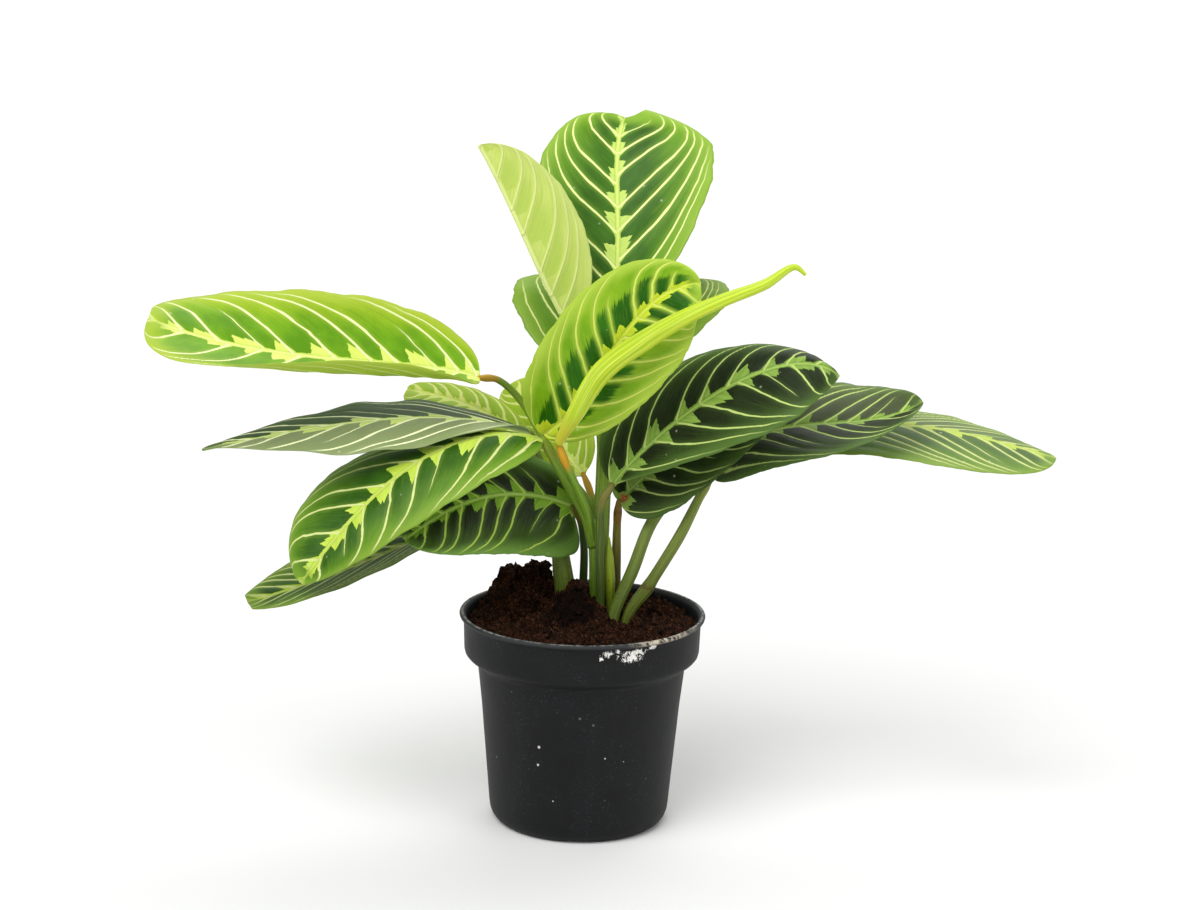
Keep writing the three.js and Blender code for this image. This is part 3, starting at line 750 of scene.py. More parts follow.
# Between which shares a crumb is stretched and flattened, and about a full turn, in radians.
CRUMB_LONG = (0.8, 1.4)
CRUMB_FLAT = (0.55, 1)
ANY_TURN = 6.3
# Every third crumb falls on the heap.
HEAP_EVERY = 3


def strewn_crumbs():
    """Each crumb's places and faces."""
    for number in range(CRUMBS):
        on_heap = number % HEAP_EVERY == 0
        radius = draw.uniform(0, 1) ** 0.5 * (HEAP_REACH if on_heap else CRUMB_REACH)
        turn = draw.uniform(0, 2 * math.pi)
        x = radius * math.cos(turn) + (HEAP_MIDDLE[0] if on_heap else 0)
        y = radius * math.sin(turn) + (HEAP_MIDDLE[1] if on_heap else 0)
        if math.hypot(x, y) > CRUMB_REACH:
            continue
        big = draw.uniform(0, 1) ** SMALL_ONES * CRUMB_RANGE + SMALLEST_CRUMB
        shape, faces = crumb_shapes[number % CRUMB_SHAPES]
        turned = draw.uniform(0, ANY_TURN)
        spin = Matrix.Rotation(turned, 3, Vector((draw.uniform(-1, 1), draw.uniform(-1, 1), 1)))
        stretch = np.array([draw.uniform(*CRUMB_LONG), 1, draw.uniform(*CRUMB_FLAT)])
        middle = np.array([x, y, rough_height(x, y, crumble(x, y)) + CRUMB_LIFT * big])
        yield (shape * stretch) @ np.array(spin).T * big + middle, faces


crumb_peat = peat_finish("peat_crumbs", "100905", "301b11", "6a3c24")
make_piece("peat_crumbs", *joined(strewn_crumbs()), [crumb_peat], [], "soil")

# %% [markdown]
# ## A tube along a line
# Root fibres, stalks and the rolled leaf are all tubes. A tube is a ring of places carried along a line.
# The ring must not spin on the way, or ribs along a stalk would wind round it, so each ring's first
# direction is the one before it, turned only as far as the line turns.

# %% A closed tube
TINY = 1e-9
NEARLY_UPRIGHT = 0.9


def unit(arrows):
    """The same arrows, one long."""
    return arrows / np.maximum(np.linalg.norm(arrows, axis=-1, keepdims=True), TINY)


def tube(line, radii, sides=8):
    """The places and faces of a closed tube; each place has one radius, or one for each side."""
    line = np.asarray(line, float)
    ahead = unit(np.gradient(line, axis=0))
    start = np.cross(ahead[0], [0, 0, 1] if abs(ahead[0][2]) < NEARLY_UPRIGHT else [1, 0, 0])
    across = [start / np.linalg.norm(start)]
    for arrow in ahead[1:]:
        turned = across[-1] - arrow * np.dot(across[-1], arrow)
        across.append(turned / np.linalg.norm(turned))
    across = np.array(across)
    other = np.cross(ahead, across)
    turn = np.linspace(0, 2 * np.pi, sides, endpoint=False)
    radii = np.broadcast_to(np.asarray(radii, float).reshape(len(line), -1), (len(line), sides))
    ring = (across[:, None] * np.cos(turn)[None, :, None] + other[:, None] * np.sin(turn)[None, :, None])
    places = (line[:, None] + ring * radii[..., None]).reshape(-1, 3)
    faces = woven(len(line), sides, closed=True) + end_fans(len(line), sides)
    return np.vstack([places, line[0], line[-1]]), faces


print("places of a tube with 3 rings of 8:", len(tube([[0, 0, 0], [0, 0, 1], [0, 0, 2]], [1, 1, 1])[0]))

# %% [markdown]
# Root fibres lie loose on the peat like hairs, and wander a little at each step. They are too few to need a
# hair system: thin tubes are enough, and come out in the export as they are.

# %% Root fibres
FIBRES = 110
FIBRE_REACH = 44
FIBRE_LIMIT = 49
FIBRE_STEPS = 7
FIBRE_THICK, FIBRE_THIN = 0.22, 0.08
FIBRE_BEND = 0.6
FIBRE_STEP = (0.8, 2)
FIBRE_LIFT = (0.1, 0.9)


def strewn_fibres():
    """Each fibre's places and faces."""
    for _ in range(FIBRES):
        radius, turn = draw.uniform(0, 1) ** 0.5 * FIBRE_REACH, draw.uniform(0, 2 * math.pi)
        x, y, way = radius * math.cos(turn), radius * math.sin(turn), draw.uniform(0, 2 * math.pi)
        line = []
        for _ in range(FIBRE_STEPS):
            line.append([x, y, rough_height(x, y, crumble(x, y)) + draw.uniform(*FIBRE_LIFT)])
            way += draw.uniform(-FIBRE_BEND, FIBRE_BEND)
            x += math.cos(way) * draw.uniform(*FIBRE_STEP)
            y += math.sin(way) * draw.uniform(*FIBRE_STEP)
        if max(math.hypot(place[0], place[1]) for place in line) <= FIBRE_LIMIT:
            yield tube(line, np.linspace(FIBRE_THICK, FIBRE_THIN, FIBRE_STEPS), 5)


fibre_peat = peat_finish("fibre", "1e120b", "3c2616", "5c3e25")
make_piece("root_fibres", *joined(strewn_fibres()), [fibre_peat], [], "soil")

# %% [markdown]
# ## Stems and stalks
# A maranta has no woody stem. Leaf stalks wrap each other at the bottom as sheaths, run up as smooth ribbed
# stalks, and end under the blade in a short swollen joint, orange or brown, that lifts and folds the leaf
# at night. Each stalk is a tube along a smooth curve through a few places. The solids use the same curve,
# so that each fine stalk lies where its solid does.

# %% A smooth curve through the stops
def smooth_curve(stops, steps_per_stop):
    """Places along the centripetal curve through the stops, with evenly spaced steps between each two."""
    stops = np.asarray(stops, float)
    before = 2 * stops[0] - stops[1]
    after = 2 * stops[-1] - stops[-2]
    chain = np.vstack([before, stops, after])
    gap = np.linalg.norm(np.diff(chain, axis=0), axis=1) ** 0.5
    line = []
    for i in range(len(stops) - 1):
        p0, p1, p2, p3 = chain[i:i + 4]
        g0, g1, g2 = gap[i:i + 3]
        leave = ((p1 - p0) / g0 - (p2 - p0) / (g0 + g1) + (p2 - p1) / g1) * g1
        arrive = ((p2 - p1) / g1 - (p3 - p1) / (g1 + g2) + (p3 - p2) / g2) * g1
        steps = np.arange(steps_per_stop + (i == len(stops) - 2))[:, None] / steps_per_stop
        line.append(p1 + leave * steps + (3 * (p2 - p1) - 2 * leave - arrive) * steps ** 2
                    + (2 * (p1 - p2) + leave + arrive) * steps ** 3)
    return np.vstack(line)


def smooth_tube(stops, steps_per_stop):
    """The smooth line through [x, y, z, radius] stops, and the radius and the length so far at its places."""
    line = smooth_curve([stop[:3] for stop in stops], steps_per_stop)
    radius = np.interp(np.arange(len(line)) / steps_per_stop, range(len(stops)), [stop[3] for stop in stops])
    along = np.concatenate([[0], np.cumsum(np.linalg.norm(np.diff(line, axis=0), axis=1))])
    return line, radius, along


print("places on a line with 3 stops:", len(smooth_curve([[0, 0, 0], [0, 1, 4], [0, 4, 6]], 10)))

# %% [markdown]
# Colour that follows a stalk needs places measured along it, and not in the room. So each mesh keeps its
# own notes: where a place lies on its ring, how far along the stalk it is, and how strongly the joint there
# is tinted.

# %% One stalk, and its notes
STALK_STEPS = 10
STALK_SIDES = 24
STALK_RIBS = 9
RIDGE = 0.035
# The joint's length, how gently it swells and fades in colour, in millimetres, and how much thicker it is.
JOINT_LENGTH = 9
SWELL_EASE = 1.5
TINT_EASE = 4
SWELL = 0.28
# A stalk that bears a leaf goes on this far into the blade, and narrows there to this share.
INTO_BLADE = 1.5
END_SHARE = 0.7


def ring_notes(along, sides, twist=0):
    """For each place of a tube: where it lies on a ring of radius one, and how far along the tube it is."""
    turn = np.linspace(0, 2 * np.pi, sides, endpoint=False)
    rows = [(math.cos(t + a * twist), math.sin(t + a * twist), a) for a in along for t in turn]
    return rows + [(0, 0, along[0]), (0, 0, along[-1])]


def stalk(stops, bears_leaf):
    """A stalk through [x, y, z, radius] stops: its places, faces and notes, and how tinted each place is."""
    line, radius, along = smooth_tube(stops, STALK_STEPS)
    left = along[-1] - along
    swell = np.clip(1 - np.abs(left - JOINT_LENGTH / 2) / (JOINT_LENGTH / 2 + SWELL_EASE), 0, 1)
    swollen = swell * swell * (3 - 2 * swell) * bears_leaf
    tinted = np.clip(1 - (left - JOINT_LENGTH) / TINT_EASE, 0, 1) * bears_leaf
    radius = radius * (1 + SWELL * swollen)
    if bears_leaf:
        line = np.vstack([line, line[-1] + unit(line[-1] - line[-2]) * INTO_BLADE])
        radius = np.append(radius, radius[-1] * END_SHARE)
        along = np.append(along, along[-1] + INTO_BLADE)
        swollen, tinted = (np.append(values, values[-1]) for values in (swollen, tinted))
    turn = np.linspace(0, 2 * np.pi, STALK_SIDES, endpoint=False)
    ridges = 1 + RIDGE * np.cos(STALK_RIBS * turn)[None, :] * (1 - swollen[:, None])
    places, faces = tube(line, radius[:, None] * ridges, STALK_SIDES)
    shades = np.append(np.repeat(tinted, STALK_SIDES), [0, tinted[-1]])
    return places, faces, ring_notes(along, STALK_SIDES), shades


# %% [markdown]
# Several stalks grow from one shoot, so they are joined in one piece. The swollen joint is a clear orange
# on the young leaves and hardly tinted on the old ones, and that is noted as a strength for each leaf.

# %% A shoot with its stalks
# How strongly the joint is tinted; the other joints are nearly as green as their stalks.
TINTED_JOINTS = {"long_lime": 1, "young_center": 1, "rolled": 1, "right_upper": 0.85, "right_under": 0.6,
                 "lime_behind": 0.4, "low_inner": 0.3}
FAINT_JOINT = 0.12


def shoot(name, stems, finish, slot="stem_green"):
    """A shoot with its stalks as one piece; only a stalk that bears a leaf swells at its end."""
    stalks = {stem: stalk(stops, stem not in ("trunk", "sheath")) for stem, stops in stems.items()}
    places, faces = joined([(places, faces) for places, faces, _, _ in stalks.values()])
    piece = make_piece(name + "_fine", places, faces, [finish], [name], slot)
    shades = [parts[3] * TINTED_JOINTS.get(stem, FAINT_JOINT) for stem, parts in stalks.items()]
    note(piece, "stem_place", np.vstack([notes for _, _, notes, _ in stalks.values()]))
    note(piece, "stem_joint", np.repeat(np.concatenate(shades), 3))


print("tinted joints:", len(TINTED_JOINTS))

# %% [markdown]
# The stalks are fresh green with paler lines along them. Near the soil they are painted darker and duller,
# as painted shade under the leaves together with age, and speckled with dirt. Brown scars go round two of
# them. One plain green would look like wire, so the lines come from clouds that are drawn out along the
# stalk by its own notes.

# %% The finish of stalks
STALK_ROUGHNESS = 0.45
STALK_SHINE = 0.2
STALK_RELIEF = 0.2
# The height, in metres, up to which a stalk is painted darker, as painted shade together with age, and from
# which it is fresh.
SHADED_OLD_UP_TO, UNSHADED_FRESH_FROM = 0.1, 0.142


def stalk_finish(name, green, pale, low, joint="a8802c", scars=()):
    """Green with pale lines, `low` near the soil as painted shade and age; each scar is a brown ring so many
    mm along the stalk.
    """
    material, tree, skin = new_finish(name, Roughness=STALK_ROUGHNESS, Specular_IOR_Level=STALK_SHINE)
    ring_x, ring_y, along = apart(kept(tree, "stem_place"))
    near_blade = apart(kept(tree, "stem_joint"))[0]
    lines = cloud(tree, together(tree, ring_x * 5, ring_y * 5, along * 0.02), 1, 4, 0.65)
    fine = cloud(tree, together(tree, ring_x * 16, ring_y * 16, along * 0.03), 1, 3, 0.6)
    spots = cloud(tree, where(tree), 560, 4, 0.65)
    # foot: one near the soil, where the stalk gets painted shade along with its older, duller colour.
    foot = apart(where(tree))[2].rise(SHADED_OLD_UP_TO, UNSHADED_FRESH_FROM).flipped()
    colour = mix(foot, tint(green), tint(low))
    colour = mix(lines.rise(0.42, 0.66) * 0.8, colour, mix(foot, tint(pale), tint(green)))
    colour = mix(fine.rise(0.5, 0.68) * 0.5, colour, mix(foot, tint("bccc78"), tint(pale)))
    colour = mix(spots.rise(0.62, 0.68) * foot.most(0.15) * 0.8, colour, tint("3c2a14"))
    for scar in scars:
        around = (along - scar + ring_x * 1.5).size() + (spots - 0.5) * 9
        colour = mix(around.rise(0.4, 1.6).flipped() * 0.7, colour, tint("4e3a18"))
    colour = mix(near_blade * (lines * 0.3 + 0.7), colour, tint(joint))
    feed(tree, colour, skin.inputs["Base Color"])
    bumps(tree, skin, fine * 0.7 + lines, STALK_RELIEF)
    return material


# %% [markdown]
# ## The main shoot
# The tallest shoot stands towards the back. Its trunk is a bundle of old sheaths, and five leaves leave it
# one above another. Each stalk starts inside the trunk, so that no gap can show where it leaves. Stops are
# x, y, z and radius, in millimetres, and were read from the photograph; the depths are a maker's guess.

# %% The main shoot with five stalks
# The stalks start this high, in the peat.
STALK_FOOT = 70
MAIN_SHOOT = {
    "trunk": [(7, 12, STALK_FOOT, 3.4), (7, 12, 98, 3.4), (7.5, 13, 130, 3.6), (8, 15, 158, 3.4),
              (7.5, 17, 174, 2.4)],
    "top_round": [(8, 15, 156, 2.2), (8, 16, 172, 2.2), (7, 19, 191, 1.7), (6, 22, 205.4, 1.2)],
    "pale_back": [(7, 15, 156, 2), (6, 16, 172, 1.9), (1, 16, 194, 1.5), (-6.8, 14, 215.4, 1)],
    "back_broad": [(8, 14, 148, 2), (8, 18, 163, 2), (8, 23, 172, 1.7), (8, 27.6, 178.6, 1.2)],
    "long_lime": [(7, 13, 126, 1.9), (2, 17, 138, 1.9), (-8, 22, 150, 1.8), (-18, 26, 164, 1.7),
                  (-29, 30, 181, 1.6), (-39, 22, 192, 1.5), (-46.3, 12, 194.8, 1.2)],
    "young_center": [(7, 13, 126, 1.7), (5, 17, 135, 1.6), (2, 23, 143, 1.4), (-0.7, 27.6, 148.6, 1.1)],
}
shoot("shoot_main", MAIN_SHOOT, stalk_finish("stalks_main", "64841c", "8aa63c", "3b420f", "bc8a24"))

# %% [markdown]
# The centre shoot stands in front of it and is younger. It bears the large leaf at the front left, the
# bright one in front, and the new leaf that is still rolled, on a bright orange joint.

# %% The centre shoot with three stalks
CENTRE_SHOOT = {
    "trunk": [(5, 6, STALK_FOOT, 2.5), (5, 6, 97, 2.5), (5, 6, 114, 2.6), (4, 5, 129, 2.7),
              (3, 4.4, 134, 2.4)],
    "front_left": [(4, 5, 122, 2.4), (0.6, 3.4, 136, 2.5), (-5.4, -0.6, 148, 2.4), (-13, -6, 162, 2.1),
                   (-18.4, -9.6, 172.8, 1.4)],
    "front_bright": [(4, 6, 122, 1.9), (0, 7, 135, 1.9), (-8, 6, 149, 1.8), (-15, 4, 163, 1.6),
                     (-18.6, 2.2, 171.4, 1.1)],
    "rolled": [(4, 5, 122, 1.9), (1.4, 1, 137, 1.8), (-3.6, -6, 151, 1.7), (-8.6, -12, 163, 1.6),
               (-11.6, -13.6, 171, 1.3)],
}
shoot("shoot_centre", CENTRE_SHOOT, stalk_finish("stalks_centre", "5a8014", "84a634", "364a0e", "cc9420"))

# %% [markdown]
# At the left a broad dull sheath still wraps the bottom of three stalks. It is a stout short tube that
# narrows upwards, and the stalks come out of its mouth.

# %% The left shoot in its sheath
LEFT_SHOOT = {
    "sheath": [(-7.6, 14, STALK_FOOT, 4.7), (-7.6, 14, 97, 4.7), (-9.2, 14, 108, 4.4), (-11, 14.5, 122, 3.5),
               (-11.5, 15, 130, 2.2)],
    "left_arch": [(-11, 14, 120, 2), (-12, 15, 131, 1.9), (-16, 15, 146, 1.7), (-21, 14.4, 161, 1.5),
                  (-24, 6.4, 172, 1.1)],
    "low_left": [(-11, 15, 118, 1.9), (-14, 19, 125, 1.8), (-23, 25, 130, 1.7), (-35, 27, 133.5, 1.5),
                 (-45.4, 24.2, 134.2, 1.1)],
    "lime_behind": [(-11, 15, 120, 1.8), (-12, 19, 130, 1.7), (-14.5, 23, 141, 1.5), (-19, 24.4, 151, 1.3),
                    (-22.5, 24.4, 159.4, 1)],
}
shoot("shoot_left", LEFT_SHOOT, stalk_finish("stalks_left", "5c7022", "7c8c38", "4c5a1a", "a09038"))

# %% [markdown]
# ## Single stalks
# Five stalks come straight out of the peat, four of them on the right. Each has its own age, and so its own
# green: the thin one at the back is nearly black-green, and the stout ones at the right are pale. Two carry
# a scar.

# %% Five single stalks
SINGLE_STALKS = {
    "low_inner": [(0, 20, STALK_FOOT, 1.9), (0, 20, 98, 1.9), (0, 19.5, 118, 1.7), (-2, 16, 131, 1.5),
                  (-5.4, 10.6, 138.4, 1.1)],
    "right_upper": [(7.6, 0.6, STALK_FOOT, 2), (7.6, 0.6, 98, 2), (7, 0, 126, 1.9), (7.6, -1, 144, 1.7),
                    (11.5, -0.2, 150.6, 1.3)],
    "right_under": [(14.5, 14, STALK_FOOT, 2.2), (14.5, 14, 95, 2.2), (14.4, 13, 114, 2.1),
                    (14.4, 10.5, 133, 1.7), (14.8, 8.2, 141.4, 1.2)],
    "right_second": [(18, 2, STALK_FOOT, 2.5), (20, 2, 92, 2.5), (28, 3, 104, 3), (31, 3.4, 109, 2.5),
                     (42, 5, 128, 2.5), (50, 6, 145, 2), (54.6, 6.1, 153.5, 1.2)],
    "right_far": [(12, -1.5, STALK_FOOT, 2.6), (13.6, -0.6, 92, 2.6), (21.6, 4, 112, 2.8),
                  (30.4, 9, 134, 2.6), (46, 14, 150, 2.2), (70, 18, 161, 1.8), (95.4, 18, 163.9, 1.2)],
}
SINGLE_FINISHES = {
    "low_inner": stalk_finish("stalk_thin_dark", "2c4412", "44601e", "24360e"),
    "right_upper": stalk_finish("stalk_dark", "344a10", "566a22", "2e3a0c", "7a7236"),
    "right_under": stalk_finish("stalk_olive", "5c5c18", "74702a", "5a4c1a", "7c4a1e", scars=(66,)),
    "right_second": stalk_finish("stalk_pale_right", "627426", "86944a", "4a5418", scars=(36,)),
    "right_far": stalk_finish("stalk_pale_far", "5e7226", "829048", "46561a"),
}
for leaf_name, stops in SINGLE_STALKS.items():
    shoot("stalk_" + leaf_name, {leaf_name: stops}, SINGLE_FINISHES[leaf_name])

# %% [markdown]
# One young sheath stands up in the middle. It holds a leaf that hasn't come out yet, so it is pale, a
# little swollen halfway up, and ends in a point.

# %% The young sheath
YOUNG_SHEATH = [(12, 6.4, STALK_FOOT, 1.7), (12, 6.4, 96, 2), (11.4, 5.6, 107, 2.7), (11, 5, 117, 2.2),
                (10.8, 4.4, 126.5, 0.5)]
young_lime = stalk_finish("sheath_lime", "809a1c", "aabc3c", "6c7a14")
shoot("sheath_young", {"sheath": YOUNG_SHEATH}, young_lime, "sheath_green")

# %% [markdown]
# ## The form of a leaf blade
# A blade is a thin sheet hung on its midrib. The midrib is a curve through four places; at each point along
# it the sheet has a width, a fold at the rib and a curl towards the margin. That is how a leaf bends: stiff
# along the rib, soft across it. Sculpting by hand could give the same, but numbers keep all the leaves in
# their solids' places, and the solids use the same formula with fewer points.

# %% Midrib, width, and values that change along the blade
def setting(values, along):
    """A value at `along`: one value, or base and tip, or base, middle and tip."""
    if len(values) == 1:
        return np.full_like(along, values[0])
    if len(values) == 2:
        return values[0] + (values[1] - values[0]) * along
    rest = 1 - along
    base, middle, tip = values
    return base * rest * (1 - 2 * along) + middle * 4 * along * rest + tip * along * (2 * along - 1)


def rib_place(rib, along):
    """The midrib's places: the cubic curve through its four stops."""
    stops = np.array([0, 1 / 3, 2 / 3, 1])
    place = 0
    for i, own in enumerate(stops):
        weight = np.prod([(along - stop) / (own - stop) for stop in np.delete(stops, i)], axis=0)
        place = place + weight[:, None] * np.array(rib[i], float)
    return place


def fullness(belly, along):
    """The half width's share of its widest; a third number leaves the tip that much blunt."""
    a, b, blunt = (*belly, 0)[:3]
    reach = 1 - blunt
    widest = a / (a + b)
    return along ** a * (1 - reach * along) ** b / ((widest / reach) ** a * (1 - widest) ** b)


print("halfway along, an even blade is this full:", float(fullness((0.5, 0.5), 0.5)))

# %% [markdown]
# No margin is quite even. Three waves make each one a little wider here and narrower there, and a low
# ripple lifts it up and down. Some leaves also have one large wave of their own.

# %% The margin's unevenness
# Each wave of the margin: its share of the width, its radians from base to tip, and how many shifts it has.
MARGIN_WAVES = ((0.009, 31, 1), (0.005, 67, 2), (0.003, 139, 1))
MARGIN_SHIFT = 2.3
LEFT_SHIFT = 9
RIPPLE_HEIGHT = 0.25
RIPPLES = 5.3
# By how many radians the left half's waves and ripples lie ahead of the right half's.
WAVE_LEAD = 1.7
RIPPLE_LEAD = 2
END_CALM = 4


def margin_noise(leaf, along, is_left):
    """How much wider or narrower the margin is here, as a share: small, and its own on each leaf."""
    shift = leaf["seed"] * MARGIN_SHIFT + (LEFT_SHIFT if is_left else 0)
    return sum(share * np.sin(along * turns + shifts * shift) for share, turns, shifts in MARGIN_WAVES)


def margin_lift(leaf, along, is_left, reach):
    """How far wave and ripple lift the blade, in millimetres; both are calm at base and tip."""
    calm = np.minimum(1, np.minimum(END_CALM * along, END_CALM * (1 - along)))
    height, count, start = leaf.get("wave", (0, 0, 0))
    wave_start = start + (WAVE_LEAD if is_left else 0)
    ripple_start = leaf["seed"] + (RIPPLE_LEAD if is_left else 0)
    wave = height * np.sin(2 * np.pi * count * along + wave_start) * reach ** 2 * calm
    ripple = RIPPLE_HEIGHT * np.sin(2 * np.pi * RIPPLES * along + ripple_start) * reach ** 3 * calm
    return wave + ripple


# %% [markdown]
# With these, one line along the blade can be placed: a line at a fixed share of the way from midrib to
# margin. The fold tips it, the curl bends it, a heel draws it back past the midrib's foot, as at a
# heart-shaped base, and a lobe draws it forward at the tip. All the lines side by side are the blade.

# %% The blade's middle surface
NARROWEST = 0.6
NEARLY_FLAT = 1e-4
LOBE_POWER = 8
RIB_STEP = 0.001


def from_midrib(leaf, along, place):
    """How far one line along the blade lies out from the midrib, up from it, and back towards the base."""
    is_left, reach = place < 0, abs(place)
    half_leaf = 0 if is_left else 1
    fold, curl = leaf["left"] if is_left else leaf["right"]
    full = fullness(leaf["belly"][half_leaf], along)
    uneven = 1 + reach ** 4 * margin_noise(leaf, along, is_left)
    half = np.maximum(leaf["half"][half_leaf] * full * uneven, NARROWEST)
    tilt = np.radians(setting(fold, along))
    bend = np.radians(setting(curl, along))
    bend = np.where(np.abs(bend) < NEARLY_FLAT, NEARLY_FLAT, bend)
    out = half * (np.sin(tilt + bend * reach) - np.sin(tilt)) / bend
    lift = half * (np.cos(tilt) - np.cos(tilt + bend * reach)) / bend
    lift = lift + margin_lift(leaf, along, is_left, reach)
    heel = leaf.get("heel", (0, 0))[half_leaf] * (1 - along) ** 2
    lobe = leaf.get("lobe", (0, 0))[half_leaf] * along ** LOBE_POWER
    return out, lift, (heel * full - lobe) * reach ** 2


def blade_middle(leaf, along, across):
    """Places in the middle of the blade: one row for each step along, one column for each across."""
    centre = rib_place(leaf["rib"], along)
    ahead = unit(rib_place(leaf["rib"], along + RIB_STEP) - rib_place(leaf["rib"], along - RIB_STEP))
    first, last = (unit(np.array(face, float)) for face in leaf["face"])
    up = first + (last - first) * along[:, None]
    up = unit(up - (up * ahead).sum(1)[:, None] * ahead)
    side = np.cross(ahead, up)
    columns = []
    for place in across:
        out, lift, back = (distance[:, None] for distance in from_midrib(leaf, along, place))
        columns.append(centre + side * (np.sign(place) * out) + up * lift - ahead * back)
    return np.stack(columns, axis=1)


# %% [markdown]
# ## Numbering the veins
# Side veins leave the midrib at a slant and bend along the margin as they near it. So each point of the
# blade lies on one such line, and the line's foot on the midrib gives the point a vein number: a whole
# number on a vein, a fraction between two. The relief and the colours both use it, so that they always
# agree. The usual slant was measured on the top leaf: 0.88 forward for each one outward, and twice that at
# the margin. A few leaves have a slant of their own.

# %% Vein numbers
VEIN_SLANT = 0.88
VEIN_BEND = 0.88
VEIN_BEND_POWER = 4.5
# Where a line's foot would lie before the blade's base, the lines are spread out by this share.
BASE_SPREAD = 0.3
# The left half's veins lie this share of a gap nearer the base.
LEFT_START = 0.12
# Vein numbers start here, so that none is negative.
FIRST_NUMBER = 20
# How uneven the gaps between veins are, and how fast that changes from vein to vein.
UNEVEN = 0.14
UNEVEN_PACE = 2.3
RIB_SAMPLES = 50


def half_widths(leaf, along, across):
    """The half width in millimetres beside each place: the left one where `across` is negative."""
    left, right = (leaf["half"][side] * fullness(leaf["belly"][side], along)[:, None] for side in (0, 1))
    return np.where(across[None, :] < 0, left, right)


def rib_length(leaf):
    """The midrib's length in millimetres."""
    rib = rib_place(leaf["rib"], np.linspace(0, 1, RIB_SAMPLES))
    return float(np.linalg.norm(np.diff(rib, axis=0), axis=1).sum())


def spaced(leaf, foot, across):
    """A foot on the midrib, a share of its length, as a vein number; the veins aren't quite evenly spaced."""
    offset = np.where(across < 0, LEFT_START, 0)[None, :]
    number = foot * leaf["veins"] + offset + FIRST_NUMBER
    return number + UNEVEN * np.sin(UNEVEN_PACE * number + leaf["seed"] + np.sign(across)[None, :])


def vein_number(leaf, along, across):
    """The vein number of each point: that of the foot of the line through it."""
    reach = np.abs(across)[None, :]
    slant = leaf.get("slant", VEIN_SLANT) + VEIN_BEND * reach ** VEIN_BEND_POWER
    forward = half_widths(leaf, along, across) * reach * slant
    foot = along[:, None] - forward / rib_length(leaf)
    return spaced(leaf, np.where(foot < 0, foot * BASE_SPREAD, foot), across)


# %% [markdown]
# A line of even width needs the real distance to the nearest vein. That is the vein number's fraction times
# the gap between two veins, in millimetres. The gap follows from how fast the number changes over the bent
# blade.

# %% The gap between veins, and the pillows
TINY_AREA = 1e-9
PILLOW_POWER = 0.7
# How fast the pillows rise beside the midrib and fall by the margin, and where they end.
PILLOW_RISE, PILLOW_FALL = 4, 5
PILLOW_END = 1.02


def vein_gap(number, middle):
    """Millimetres from one vein to the next at each place, square to the veins."""
    number_down, number_across = np.gradient(number)
    down, across = np.gradient(middle, axis=0), np.gradient(middle, axis=1)
    dd, da, aa = (down * down).sum(-1), (down * across).sum(-1), (across * across).sum(-1)
    spread = aa * number_down ** 2 - 2 * da * number_down * number_across + dd * number_across ** 2
    return np.sqrt(np.maximum(dd * aa - da * da, TINY_AREA) / np.maximum(spread, TINY_AREA))


def pillow(number, reach):
    """The blade stands up between two side veins and dips along each."""
    between = np.abs(np.sin(np.pi * number)) ** PILLOW_POWER
    return between * np.clip(reach * PILLOW_RISE, 0, 1) * np.clip((PILLOW_END - reach) * PILLOW_FALL, 0, 1)


# %% [markdown]
# ## From one surface to a closed blade
# The fine blade adds what only shows close by: the sunk midrib and the pillows between the side veins. The
# surface is then given a thickness by two sheets, an upper and a lower one, which are nearer to each other
# at the margin. A modifier could thicken it, but not thin the margin and leave the rib standing out below.
# The notes go with it.

# %% A closed blade
ROWS = 130
COLUMNS = 61
NEAR_BASE, NEAR_TIP = 0.0004, 0.9996
RIB_CROWDING = 1.12
BLADE_THICKNESS = 0.5
# The share of the thickness that is left at the margin, and how fast the blade gets there.
MARGIN_SHARE = 0.25
MARGIN_THINNING = 14
# In millimetres: the midrib's half width, how far it is sunk above and stands out below; the pillows' height.
RIB_WIDTH = 1.3
RIB_SUNK = 0.35
RIB_BELOW = 0.75
PILLOW_HEIGHT = 0.42
# By what share the midrib narrows towards the tip.
RIB_NARROWS = 0.6


def blade_rim(under):
    """The narrow faces that close the blade all round."""
    edge = [row * COLUMNS for row in range(ROWS)]
    edge += [(ROWS - 1) * COLUMNS + column for column in range(1, COLUMNS)]
    edge += [row * COLUMNS + COLUMNS - 1 for row in range(ROWS - 2, -1, -1)]
    edge += list(range(COLUMNS - 2, 0, -1))
    return [[a, b, b + under, a + under] for a, b in zip(edge, edge[1:] + edge[:1])]


def two_sheets(leaf, middle, pillows, rib, reach):
    """The places of the upper and the lower sheet."""
    normal = unit(np.cross(np.gradient(middle, axis=0), np.gradient(middle, axis=1)))
    normal = normal * np.sign((normal[ROWS // 2, COLUMNS // 2] * np.array(leaf["face"][0])).sum())
    middle = middle + normal * (PILLOW_HEIGHT * pillows - RIB_SUNK * rib)[..., None]
    thin = np.clip((1 - reach) * MARGIN_THINNING, MARGIN_SHARE, 1)[..., None] * BLADE_THICKNESS / 2
    upper = middle + normal * thin
    lower = middle - normal * (thin + (RIB_BELOW * rib)[..., None])
    return np.vstack([upper.reshape(-1, 3), lower.reshape(-1, 3)])


